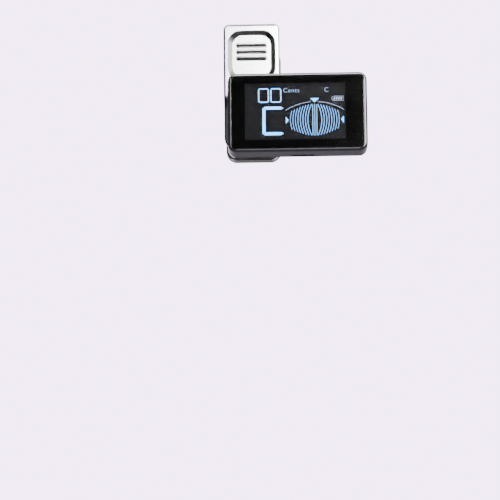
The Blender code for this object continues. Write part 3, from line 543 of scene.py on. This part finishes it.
def make_ribs(name, body, side, place):
    """Three rounded grip ribs standing in the thumb dish, each with a long slope below its crest."""
    bm = bmesh.new()
    for row in range(3):
        middle = RIB_TOP - RIB_PITCH * row
        levels = []
        for rise, low, high in RIB_SECTION:
            reach = RIB_LENGTH / 2 - 0.9 * max(rise, 0.0)
            centre = (0.0, middle + (low + high) / 2)
            outline = rounded_rect(2 * reach, high - low, (high - low) / 2 - 0.01, centre, 8)
            levels.append((side * (rise - DISH_DEPTH), outline))
        add_loft(bm, levels)
    ribs = new_object(f"{name}_ribs", bm, place, "silver")
    shade(ribs, 60.0)
    hand_in(ribs, body, "satin_silver")


def make_pad(name, body, side, place):
    """Rubber jaw pad with a rounded rim and shallow grip grooves."""
    centre = (0.0, PAD_CENTRE_Z)
    width, height, corner = PAD_SIZE
    back = PAD_FACE + 2.7
    levels = [(side * back, rounded_rect(width, height, corner, centre))]
    for out, inset in reversed(fillet_levels(PAD_FACE, 1.0, 0.6)):
        outline = rounded_rect(width - 2 * inset, height - 2 * inset, corner - inset, centre)
        levels.append((side * out, outline))
    pad = new_object(f"{name}_rubber", loft(levels), place, "rubber")
    grooves = bmesh.new()
    pitch, mouth, root, reach = 2.3, 0.5, 0.12, 6.6
    before, bottom = side * (PAD_FACE - 0.2), side * (PAD_FACE + 0.35)
    for row in range(-2, 3):
        z = PAD_CENTRE_Z + pitch * row
        outline = [(before, z - mouth), (bottom, z - root), (bottom, z + root), (before, z + mouth)]
        add_loft(grooves, [(-reach, outline), (reach, outline)], "X")
    combine(pad, grooves, place)
    soften(pad, 0.08, 2)
    hand_in(pad, body, "black_rubber", name)


def make_pin_and_clip():
    """Hinge pin with a domed head, and the retaining clip in its groove."""
    pin = new_object("hinge_pin_turned", turned([
        (1.0, -10.25), (1.7, -10.18), (2.15, -10.02), (2.3, -9.85), (2.3, -9.7), (1.25, -9.7), (1.25, 9.6),
        (0.85, 9.6), (0.85, 10.02), (1.25, 10.02), (1.25, 10.08), (1.1, 10.2)], "X"), AT_HINGE, "steel")
    shade(pin)
    hand_in(pin, "front_clip", "bright_steel", "hinge_pin")
    opening = math.radians(35.0)
    sweep = 2.0 * math.pi - 2.0 * opening
    turns = [opening + sweep * step / 48 for step in range(49)]
    outer = 2.25
    outline = [(outer * math.cos(turn), outer * math.sin(turn)) for turn in turns]
    for turn in reversed(turns):
        inner = 1.0 + 0.45 * abs(math.sin(1.5 * turn))
        outline.append((inner * math.cos(turn), inner * math.sin(turn)))
    clip = new_object("hinge_clip_ring", prism(outline, 9.68, 9.94, "X"), AT_HINGE, "steel")
    soften(clip, 0.05, 2, 50.0)
    hand_in(clip, "front_clip", "bright_steel", "hinge_clip")


def bend(corner_before, corner, corner_after, radius, steps=8):
    """Points of an arc that rounds one corner of a path in space."""
    before = (corner_before - corner).normalized()
    after = (corner_after - corner).normalized()
    half = before.angle(after) / 2.0
    reach = radius / math.tan(half)
    centre = corner + (before + after).normalized() * radius / math.sin(half)
    start = corner + before * reach - centre
    end = corner + after * reach - centre
    axis = start.cross(end).normalized()
    sweep = start.angle(end)
    return [centre + Matrix.Rotation(sweep * step / steps, 3, axis) @ start for step in range(steps + 1)]


def make_spring():
    """Torsion spring round the hinge bush; each leg follows the arm that it presses."""
    radius, wire_radius, coils = 3.1, 0.6, 5
    half = 0.62 * 2 * wire_radius * coils
    clear = wire_radius + 0.1
    leg_z, tip_rise, corner_radius = 9.0, 5.0, 2.0

    def leg(x, side, lever, slope):
        """Where a leg leaves the coil, and its path up to the lever and along it."""
        end = Vector((side * (lever[0] - LEVER_THICK - clear), leg_z))
        tangent = math.atan2(end.y, end.x) - side * math.acos(radius / end.length)
        start = Vector((x, radius * math.cos(tangent), radius * math.sin(tangent)))
        corner = Vector((x, end.x, end.y))
        tip = corner + Vector((0.0, side * slope, tip_rise))
        return tangent, [start, *bend(start, corner, tip, corner_radius), tip]

    front_turn, front_leg = leg(half, -1, FRONT_LEVER, 0.18)
    rear_turn, rear_leg = leg(-half, 1, REAR_LEVER, 0.12)
    turn_back = Matrix.Rotation(REST_CLOSE, 3, "X")
    rear_leg = [turn_back @ point for point in rear_leg]
    rear_turn += REST_CLOSE
    sweep = 2.0 * math.pi * coils + (front_turn - rear_turn) % (2.0 * math.pi)
    steps = 30 * coils
    coil = []
    for step in range(1, steps):
        turn = rear_turn + sweep * step / steps
        x = -half + 2.0 * half * step / steps
        coil.append(Vector((x, radius * math.cos(turn), radius * math.sin(turn))))
    points = list(reversed(rear_leg)) + coil + front_leg
    spring = new_object("clip_spring_wire", tube(points, wire_radius), AT_HINGE, "spring")
    shade(spring, 60.0)
    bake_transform(spring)
    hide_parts("clip_spring")


# ---------- swivel and tilt

def make_swivel():
    """Turntable and knuckle of the swivel, with rounded edges."""
    axis = Matrix.Translation(Vector((0.0, 0.0, TILT.z)))
    low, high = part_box("swivel_base")
    radius = (high.x - low.x) / 2 / MM
    back = high.y / MM
    front = -7.8
    levels = [(radius - 0.15, back), (radius, back - 0.15), (radius, front + 0.5)]
    levels += [(radius - inset, along) for along, inset in reversed(fillet_levels(front, 1.0, 0.5))]
    base = new_object("swivel_base_turned", turned(levels, "Y", steps=96), axis, "silver")
    tilt_y = TILT.y / MM
    knuckle = rounded_outline([
        (front + 0.8, -3.6, 0.0), (front + 0.8, 3.6, 0.0), (tilt_y - 2.4, 2.4, 2.39),
        (tilt_y - 2.4, -2.4, 2.39)], steps=12)
    combine(base, prism(knuckle, -2.2, 2.2, "X"), axis, "UNION")
    washer_recess, screw_bore = circle(5.7), circle(1.15, steps=32)
    tilt_bore = circle(1.15, (tilt_y, 0.0), 32)
    combine(base, prism(washer_recess, back + 1.0, back - 0.45), axis)
    combine(base, prism(tilt_bore, -4.0, 4.0, "X"), axis)
    combine(base, prism(screw_bore, back + 1.0, -8.2), axis)
    soften(base, 0.15, 2, 45.0)
    hand_in(base, "swivel", "satin_silver", "swivel_base")


def make_tilt_screw():
    """Slotted tilt screw and its hexagon nut."""
    levels = [(0.8, -6.4), (1.0, -6.2), (1.0, 4.8), (1.9, 4.8), (1.9, 5.45)]
    levels += [(1.9 - inset, along) for along, inset in reversed(fillet_levels(6.0, -1.0, 0.55))]
    screw = new_object("tilt_screw_turned", turned(levels, "X"), AT_TILT, "steel")
    slot = block((5.4, 7.0), (-0.25, 0.25), (-2.5, 2.5))
    combine(screw, slot, AT_TILT)
    soften(screw, 0.05, 2, 50.0)
    hand_in(screw, "head", "bright_steel", "tilt_screw")
    nut = new_object("tilt_nut_hex", prism(circle(2.1, steps=6), -6.1, -4.8, "X"), AT_TILT, "steel")
    combine(nut, turned([(2.7, -4.5), (2.7, -5.95), (1.75, -6.3)], "X"), AT_TILT, "INTERSECT")
    combine(nut, prism(circle(1.12, steps=32), -7.0, -4.0, "X"), AT_TILT)
    soften(nut, 0.05, 2, 40.0)
    hand_in(nut, "head", "bright_steel", "tilt_nut")


# ---------- display head

def head_outline(inset=0.0):
    """Outline of the display head, drawn in by an inset."""
    return rounded_rect(HEAD_WIDTH - 2 * inset, HEAD_HEIGHT - 2 * inset, HEAD_CORNER - inset, steps=12)


def corner_places():
    """Places of the four cover screws."""
    x, z = SCREW_PLACE
    return [(side * x, level * z) for level in (1, -1) for side in (-1, 1)]


def button_place(name):
    """Middle of a button, across and up from the middle of the head."""
    low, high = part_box(name)
    return ((low.x + high.x) / 2 / MM - HEAD.x / MM, (low.z + high.z) / 2 / MM - HEAD.z / MM)


def socket_place():
    """Middle of the charging socket, across and back."""
    low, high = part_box("usb_port")
    return ((low.x + high.x) / 2 / MM - HEAD.x / MM, (low.y + high.y) / 2 / MM)


def make_front_frame():
    """Casing with a bright cut chamfer round the lens, a rounded shoulder and the socket's opening."""
    levels = [(FRONT_Y + depth, head_outline(inset)) for depth, inset in CHAMFER]
    shoulder_y, deep, wide = FRONT_Y + 0.14, 1.15, 1.06
    first = math.radians(27.0)
    for step in range(7):
        turn = first + (math.pi / 2.0 - first) * step / 6
        levels.append((shoulder_y + deep * (math.cos(first) - math.cos(turn)),
                       head_outline(wide * (1.0 - math.sin(turn)))))
    levels += [(SPLIT_Y - 0.12, head_outline()), (SPLIT_Y, head_outline(0.12))]
    casing = new_object("front_frame_shell", loft(levels), AT_HEAD, "casing")
    seat = rounded_rect(HEAD_WIDTH - 2 * SEAT_INSET, HEAD_HEIGHT - 2 * SEAT_INSET, 1.6, steps=8)
    combine(casing, prism(seat, FRONT_Y - 1.0, WEB_Y[0]), AT_HEAD)
    combine(casing, prism(head_outline(1.3), WEB_Y[1], SPLIT_Y + 1.0), AT_HEAD)
    hole = rounded_rect(38.4, 21.8, 0.6, (-0.75, 0.0))
    combine(casing, prism(hole, WEB_Y[0] - 0.5, WEB_Y[1] + 0.5), AT_HEAD)
    for spot in corner_places():
        boss, screw_bore = circle(1.5, spot, 24), circle(0.75, spot, 16)
        combine(casing, prism(boss, WEB_Y[1] - 0.4, SPLIT_Y), AT_HEAD, "UNION")
        combine(casing, prism(screw_bore, -21.5, SPLIT_Y + 1.0), AT_HEAD)
    spot = socket_place()
    mouth = [(-16.0, rounded_rect(8.9, 3.8, 1.1, spot)), (-14.25, rounded_rect(8.5, 3.4, 0.95, spot)),
             (-13.95, rounded_rect(7.95, 2.85, 0.68, spot)), (-11.0, rounded_rect(7.95, 2.85, 0.68, spot))]
    combine(casing, loft(mouth, "Z"), AT_HEAD)
    shade(casing)
    chamfer_end = FRONT_Y + 0.13
    paint(casing, "silver_polished",
          lambda centre, normal: centre.y < chamfer_end and 0.3 < abs(normal.y) < 0.99)
    hand_in(casing, "head", "black_casing", "front_frame")


def make_rear_cover():
    """Rear cover with a rounded edge, tilt fork, button wells and countersunk screw holes."""
    levels = [(COVER_INNER_Y, head_outline(0.12)), (COVER_INNER_Y + 0.12, head_outline())]
    for y, inset in reversed(fillet_levels(COVER_REAR_Y, -1.0, 0.9, 7)):
        levels.append((y, head_outline(inset)))
    cover = new_object("rear_cover_shell", loft(levels), AT_HEAD, "casing")
    root = (COVER_REAR_Y - TILT.y / MM) - 0.6
    ear = rounded_outline([
        (root, -3.4, 0.0), (root, 3.4, 0.0), (2.4, 2.4, 2.39), (2.4, -2.4, 2.39)], steps=12)
    for low, high in ((-4.6, -2.75), (2.75, 4.6)):
        combine(cover, prism(ear, low, high, "X"), AT_TILT, "UNION")
    tilt_bore = circle(1.15, steps=32)
    combine(cover, prism(tilt_bore, -7.0, 7.0, "X"), AT_TILT)
    well = [(2.4, COVER_INNER_Y - 1.0), (2.4, COVER_REAR_Y - 0.35),
            (3.0, COVER_REAR_Y), (3.0, COVER_REAR_Y + 1.0)]
    for name in ("power_button", "mode_button"):
        combine(cover, turned(well, "Y", button_place(name)), AT_HEAD)
    sink = [(0.75, COVER_INNER_Y - 1.0), (0.75, -14.95), (1.45, COVER_REAR_Y), (1.45, COVER_REAR_Y + 0.5)]
    for spot in corner_places():
        combine(cover, turned(sink, "Y", spot, 32), AT_HEAD)
    soften(cover, 0.1, 2, 40.0)
    hand_in(cover, "head", "black_casing", "rear_cover")


def make_cover_screws():
    """Countersunk cover screws with cross recesses."""
    profile = [(0.45, -20.5), (0.6, -20.3), (0.6, -14.85), (1.2, -14.14), (1.17, -14.1)]
    long, narrow, recess = 0.72, 0.13, (-14.5, -13.9)
    for number, (x, z) in enumerate(corner_places(), 1):
        node = f"cover_screw_{number}"
        screw = new_object(f"{node}_turned", turned(profile, "Y", (x, z), 32), AT_HEAD, "steel")
        for wide, high in ((long, narrow), (narrow, long)):
            combine(screw, block((x - wide, x + wide), recess, (z - high, z + high)), AT_HEAD)
        soften(screw, 0.03, 1, 50.0)
        hand_in(screw, "head", "bright_steel", node)


def make_buttons():
    """Rubber push buttons with a soft dome; the power button carries a ring mark, the other a dot."""
    for name in ("power_button", "mode_button"):
        low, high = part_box(name)
        spot = button_place(name)
        top = high.y / MM
        levels = [(2.7, low.y / MM), (2.7, -15.45), (2.2, -15.45), (2.2, top - 0.4)]
        for step in range(1, 7):
            turn = math.pi / 2.0 * step / 6
            levels.append((1.85 + 0.35 * math.cos(turn), top - 0.4 + 0.3 * math.sin(turn)))
        levels += [(1.4, top - 0.05), (0.7, top - 0.01), (0.2, top)]
        button = new_object(f"{name}_cap", turned(levels, "Y", spot), AT_HEAD, "button")
        if name == "power_button":
            combine(button, turned([(1.15, top - 0.16), (1.15, top + 0.3)], "Y", spot), AT_HEAD)
            combine(button, turned([(0.85, top - 0.4), (0.85, top - 0.03)], "Y", spot), AT_HEAD, "UNION")
            x, z = spot
            stroke = block((x - 0.15, x + 0.15), (top - 0.4, top - 0.02), (z + 0.45, z + 1.45))
            combine(button, stroke, AT_HEAD, "UNION")
        else:
            combine(button, turned([(0.5, top - 0.18), (0.6, top + 0.3)], "Y", spot), AT_HEAD)
        shade(button, 40.0)
        hand_in(button, name, "black_rubber", name)


def make_lens():
    """Clear lens slab with softened edges, and the black print on its back with the window left clear."""
    low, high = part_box("display_lens")
    width = (high.x - low.x) / MM
    height = (high.z - low.z) / MM
    edge = 0.05

    def slab(inset):
        """Outline of the lens, drawn in by an inset."""
        return rounded_rect(width - 2 * inset, height - 2 * inset, 1.4 - inset, steps=10)

    levels = [(y, slab(inset)) for y, inset in fillet_levels(low.y / MM, 1.0, edge)]
    levels += [(y, slab(inset)) for y, inset in reversed(fillet_levels(LENS_BACK_Y - 0.06, -1.0, edge))]
    lens = new_object("display_lens_slab", loft(levels), AT_HEAD, "lens")
    shade(lens, 50.0)
    hand_in(lens, "head", "black_lens", "display_lens")

    (x0, x1), (z0, z1) = WINDOW
    outer = rounded_rect(width - 0.1, height - 0.1, 1.35, steps=10)
    inner = rounded_rect(x1 - x0, z1 - z0, 0.25, ((x0 + x1) / 2, (z0 + z1) / 2), steps=10)
    bm = bmesh.new()
    rings = []
    front, back = LENS_BACK_Y - 0.05, LENS_BACK_Y - 0.01
    for outline, along in ((inner, front), (outer, front), (outer, back), (inner, back)):
        rings.append([bm.verts.new((a, along, b)) for a, b in outline])
    for side, other in zip(rings, rings[1:] + rings[:1]):
        for index in range(len(inner)):
            following = (index + 1) % len(inner)
            bm.faces.new((side[index], side[following], other[following], other[index]))
    hand_in(new_object("lens_print", bm, AT_HEAD, "print"), "head", "black_lens")


# ---------- display segments

def add_strip(bm, points, width):
    """A lit line of even width along a path."""
    path = [Vector(point) for point in points]
    before = None
    for index, point in enumerate(path):
        along = (path[min(index + 1, len(path) - 1)] - path[max(index - 1, 0)]).normalized()
        across = Vector((-along.y, along.x)) * width / 2
        edge = [bm.verts.new((spot.x, LIT_Y, spot.y)) for spot in (point + across, point - across)]
        if before:
            bm.faces.new((before[0], edge[0], edge[1], before[1]))
        before = edge


def add_plate(bm, outline):
    """A thin lit shape with the given outline."""
    add_loft(bm, [(LIT_Y, outline), (LIT_Y + LIT_THICK, outline)])


def add_zero(bm, x, z, width, height, stroke):
    """A seven-segment 0: a rounded ring, parted half way up."""
    middle = (x + width / 2, z + height / 2)
    outer = rounded_rect(width, height, 0.85, middle, 5)
    inner = rounded_rect(width - 2 * stroke, height - 2 * stroke, 0.4, middle, 5)
    half = len(outer) // 2
    for sign, part in ((1, slice(0, half)), (-1, slice(half, None))):
        cut = middle[1] + sign * 0.11
        over, under = outer[part], inner[part][::-1]
        add_plate(bm, [(over[0][0], cut), *over, (over[-1][0], cut),
                       (under[0][0], cut), *under, (under[-1][0], cut)])


def add_letter_c(bm, x, z, width, height, stroke):
    """A seven-segment C: mitred corners, pointed arms and a fine parting half way up."""
    gap = 0.1
    corner = 0.75
    stem = height / 2 - gap
    arm = [(corner + gap, 0.0), (width - 1.1, 0.0), (width, stroke * 0.55), (width - 0.9, stroke),
           (stroke + gap, stroke), (0.3 + gap, 0.35)]
    upright = [(0.0, corner + gap), (0.12, 0.42 + gap), (0.22, 0.42 + gap), (stroke, stroke + gap * 2),
               (stroke, stem), (0.0, stem)]
    for sign, edge in ((1, z + height), (-1, z)):
        for outline in (arm, upright):
            add_plate(bm, [(x + a, edge - sign * b) for a, b in outline])


def add_words(name, words, place, size):
    """Lit words on the display."""
    curve = bpy.data.curves.new(name, "FONT")
    curve.body = words
    curve.size = size * MM
    curve.space_character = 1.12
    curve.offset = -0.03 * MM
    text = bpy.data.objects.new(name, curve)
    bpy.context.scene.collection.objects.link(text)
    text.rotation_euler.x = math.radians(90.0)
    text.location = AT_HEAD @ (Vector((place[0], LIT_Y, place[1])) * MM)
    bpy.context.view_layer.update()
    graph = bpy.context.evaluated_depsgraph_get()
    mesh = bpy.data.meshes.new_from_object(text.evaluated_get(graph))
    mesh.transform(text.matrix_world)
    bpy.data.objects.remove(text, do_unlink=True)
    mesh.materials.clear()
    mesh.materials.append(LOOKS["lit_text"])
    label = bpy.data.objects.new(name, mesh)
    bpy.context.scene.collection.objects.link(label)
    hand_in(label, "head", "lcd_glass")


def make_segments():
    """Everything lit on the display: cents figure, note letter, arc, pointers, battery and strobe drum."""
    bm = bmesh.new()
    for x in (-14.15, -9.7):
        add_zero(bm, x, 3.92, 3.9, 5.3, 0.36)
    add_letter_c(bm, -12.65, -8.1, 7.6, 10.5, 1.06)

    drum_x, drum_z = 6.2, -2.65
    arc_radius = 19.6
    arc_centre = 4.03 - arc_radius
    arc_start, arc_end = 1.5, 10.5
    offsets = [arc_start + (arc_end - arc_start) * step / 24 for step in range(25)]
    turns = [math.asin(offset / arc_radius) for offset in offsets]
    arc = [(arc_radius * math.sin(turn), arc_centre + arc_radius * math.cos(turn)) for turn in turns]
    fine = bmesh.new()
    for side in (-1, 1):
        add_strip(fine, [(drum_x + side * x, z) for x, z in arc], 0.075)
        tip = drum_x + side * 9.5
        base = drum_x + side * 10.4
        add_plate(bm, [(base, drum_z + 1.25), (base, drum_z - 1.25), (tip, drum_z)])
    add_plate(bm, [(drum_x - 1.55, 5.3), (drum_x + 1.55, 5.3), (drum_x, 3.85)])

    left, right, low, high = 12.95, 16.6, 4.35, 5.9
    add_strip(fine, [(left, low), (right, low), (right, high), (left, high), (12.45, 5.5), (12.45, 4.75),
                     (left, low), (13.2, low)], 0.06)
    for cell in range(4):
        x = 13.1 + 0.82 * cell
        add_plate(fine, [(x, 4.7), (x + 0.22, 4.7), (x + 0.52, 5.55), (x + 0.3, 5.55)])
    hand_in(new_object("display_segments", bm, AT_HEAD, "lit"), "head", "lcd_glass")
    hand_in(new_object("display_fine_marks", fine, AT_HEAD, "lit_fine"), "head", "lcd_glass")
    add_words("display_unit", "Cents", (-5.2, 7.6), 2.3)
    add_words("display_mode", "C", (9.65, 7.6), 2.4)

    bm = bmesh.new()
    half = 0.12
    for offset in (-0.74, 0.0, 0.74):
        x = drum_x + offset
        top = 5.85 - abs(offset) * 0.35
        add_plate(bm, [(x - half, drum_z - top), (x - half, drum_z + top),
                       (x + half, drum_z + top), (x + half, drum_z - top)])
    stripes = 8
    for side in (-1, 1):
        for number in range(stripes):
            share = number / (stripes - 1)
            middle = 2.5 + 0.9 * number
            sag = 1.35 - 0.75 * share
            top = 5.75 - 2.35 * share ** 1.5
            heights = [-1.0 + 2.0 * step / 16 for step in range(17)]
            add_strip(bm, [(drum_x + side * (middle - sag * height * height), drum_z + top * height)
                           for height in heights], 0.24 - 0.05 * share)
    hand_in(new_object("display_strobe", bm, AT_HEAD, "lit_stripe"), "head", "lcd_glass")


def make_charging_port():
    """Pressed steel socket shell with rounded lips, as thin sheet round its tongue."""
    low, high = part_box("usb_port")
    width = (high.x - low.x) / MM
    thick = (high.y - low.y) / MM
    bottom, top = (low.z - HEAD.z) / MM, (high.z - HEAD.z) / MM
    spot = socket_place()

    def shape(*levels):
        """A solid through levels of (height, how much smaller than the socket, corner radius)."""
        return loft([(z, rounded_rect(width - less, thick - less, corner, spot))
                     for z, less, corner in levels], "Z")

    shell = new_object("usb_port_shell", shape((bottom, 0.0, 0.55), (top, 0.0, 0.5)), AT_HEAD, "steel")
    hollow = shape((bottom - 0.5, 0.3, 0.5), (bottom + 0.25, 0.6, 0.35), (top - 0.3, 0.6, 0.35))
    combine(shell, hollow, AT_HEAD)
    soften(shell, 0.06, 2, 40.0)
    hand_in(shell, "head", "bright_steel", "usb_port")


NODE_LOOKS = {
    "spring_bush": "nylon", "swivel_screw": "steel", "swivel_wave_washer": "spring",
    "swivel_friction_washer": "nylon", "tilt_washer_left": "nylon", "tilt_washer_right": "nylon",
    "lens_tape": "tape", "lcd_panel": "unlit", "backlight_guide": "guide", "backlight_strip": "board",
    "backlight_led_1": "led", "backlight_led_2": "led", "lcd_bracket": "plastic", "zebra_connector": "rubber",
    "main_board": "board", "tuner_chip": "chip", "amp_chip": "chip", "charge_chip": "chip",
    "crystal": "steel", "power_switch": "plastic", "mode_switch": "plastic", "usb_tongue": "plastic",
    "battery": "pouch", "battery_tape": "tape", "battery_lead_plus": "red", "battery_lead_minus": "plastic",
    "piezo_plate": "brass", "piezo_ceramic": "ceramic", "piezo_lead_1": "red", "piezo_lead_2": "plastic",
    "board_screw_1": "steel", "board_screw_2": "steel"}


def dress_inner_nodes():
    """Give the CAD nodes that stay their finished materials."""
    for name, look in NODE_LOOKS.items():
        node = frame["nodes"][name]
        for material_slot in node.material_slots:
            material_slot.material = LOOKS[look]


# ---------- camera, light and floor

def direction(azimuth, elevation):
    """Unit vector in a direction, in degrees: azimuth from the front to the right, and elevation."""
    a, e = math.radians(azimuth), math.radians(elevation)
    return Vector((math.sin(a) * math.cos(e), -math.cos(a) * math.cos(e), math.sin(e)))


def add_softbox(name, azimuth, elevation, size, glow, distance=1.3):
    """A rectangular soft light in a direction from the tuner, at a distance in metres."""
    lamp = bpy.data.lights.new(name, "AREA")
    lamp.shape = "RECTANGLE"
    lamp.size, lamp.size_y = size
    lamp.energy = glow * math.pi * size[0] * size[1]
    made = bpy.data.objects.new(name, lamp)
    place = direction(azimuth, elevation) * distance
    made.location = place
    made.rotation_euler = (-place).to_track_quat("-Z", "Y").to_euler()
    bpy.context.scene.collection.objects.link(made)


def make_camera():
    """Long-lens camera in front of the tuner and a little below it, looking up."""
    azimuth, elevation, roll = 2.0, -9.02, math.radians(-0.49)
    distance = 0.65
    aim = Vector((-0.00146, 0.0, -0.04558))
    back = direction(azimuth, elevation)
    level = Vector((math.cos(math.radians(azimuth)), math.sin(math.radians(azimuth)), 0.0))
    upright = back.cross(level)
    right = level * math.cos(roll) + upright * math.sin(roll)
    up = upright * math.cos(roll) - level * math.sin(roll)
    data = bpy.data.cameras.new("camera")
    data.sensor_width = 36.0
    data.lens = 126.7
    camera = bpy.data.objects.new("camera", data)
    facing = Matrix((right, up, back)).transposed().to_4x4()
    camera.matrix_world = Matrix.Translation(aim + back * distance) @ facing
    bpy.context.scene.collection.objects.link(camera)
    bpy.context.scene.camera = camera


def make_floor():
    """Wide pale floor that glows softly, and is left out of mirrored and refracted views."""
    bm = bmesh.new()
    bmesh.ops.create_grid(bm, x_segments=1, y_segments=1, size=12.0)
    mesh = bpy.data.meshes.new("floor")
    bm.to_mesh(mesh)
    bm.free()
    floor = bpy.data.objects.new("floor", mesh)
    floor.location = (0.0, 0.0, FLOOR_Z)
    dark, light = (0.78, 0.76, 0.8), (0.8, 0.78, 0.82)
    look, tree, shader = principled("pale_floor", dark, 0.7)
    blend_colors(tree, shader, between(tree, noise(tree, 3.0), 0.0, 1.0), dark, light)
    shader.inputs["Emission Color"].default_value = (0.58, 0.46, 0.64, 1.0)
    shader.inputs["Emission Strength"].default_value = 6.0
    mesh.materials.append(look)
    bpy.context.scene.collection.objects.link(floor)
    floor.visible_glossy = False
    floor.visible_transmission = False


def patch(tree, view, operation, azimuth, elevation, inner, outer, amount):
    """A value for one patch of the studio: its amount in the middle, and no change away from it."""
    dot = tree.nodes.new("ShaderNodeVectorMath")
    dot.operation = "DOT_PRODUCT"
    dot.inputs[1].default_value = direction(azimuth, elevation)
    tree.links.new(view, dot.inputs[0])
    ramp = tree.nodes.new("ShaderNodeMapRange")
    ramp.interpolation_type = "SMOOTHSTEP"
    ramp.inputs["From Min"].default_value = math.cos(math.radians(outer))
    ramp.inputs["From Max"].default_value = math.cos(math.radians(inner))
    ramp.inputs["To Min"].default_value = 0.0 if operation == "ADD" else 1.0
    ramp.inputs["To Max"].default_value = amount
    tree.links.new(dot.outputs["Value"], ramp.inputs["Value"])
    return ramp.outputs[0]


def make_surroundings():
    """Light everything from all round, and show the camera a plain backdrop."""
    world = bpy.data.worlds.new("studio")
    bpy.context.scene.world = world
    world.use_nodes = True
    tree = world.node_tree
    nodes, links = tree.nodes, tree.links
    view = nodes.new("ShaderNodeTexCoord").outputs["Generated"]
    value = nodes.new("ShaderNodeValue").outputs[0]
    value.default_value = STUDIO_LIGHT
    for operation, *where in STUDIO_PATCHES:
        step = nodes.new("ShaderNodeMath")
        step.operation = operation
        links.new(value, step.inputs[0])
        links.new(patch(tree, view, operation, *where), step.inputs[1])
        value = step.outputs[0]
    light = nodes["Background"]
    light.inputs["Color"].default_value = (1.0, 0.985, 1.0, 1.0)
    links.new(value, light.inputs["Strength"])
    plain = nodes.new("ShaderNodeBackground")
    plain.inputs["Color"].default_value = (*BACKDROP, 1.0)
    plain.inputs["Strength"].default_value = BACKDROP_GLOW
    seen = nodes.new("ShaderNodeLightPath")
    mix = nodes.new("ShaderNodeMixShader")
    links.new(seen.outputs["Is Camera Ray"], mix.inputs["Fac"])
    links.new(light.outputs[0], mix.inputs[1])
    links.new(plain.outputs[0], mix.inputs[2])
    links.new(mix.outputs[0], nodes["World Output"].inputs["Surface"])


make_arm("front_arm", "front_clip", -1, AT_HINGE, FRONT_LEVER, FRONT_EARS)
make_arm("rear_arm", "rear_clip", 1, AT_REAR_ARM, REAR_LEVER, REAR_EARS)
make_pad("front_pad", "front_clip", -1, AT_HINGE)
make_pad("rear_pad", "rear_clip", 1, AT_REAR_ARM)
make_pin_and_clip()
make_spring()
make_swivel()
make_tilt_screw()
make_front_frame()
make_rear_cover()
make_cover_screws()
make_buttons()
make_lens()
make_segments()
make_charging_port()
dress_inner_nodes()
make_camera()
make_floor()
make_surroundings()
add_softbox("key", 10.0, 13.5, (0.24, 0.22), 200.0)
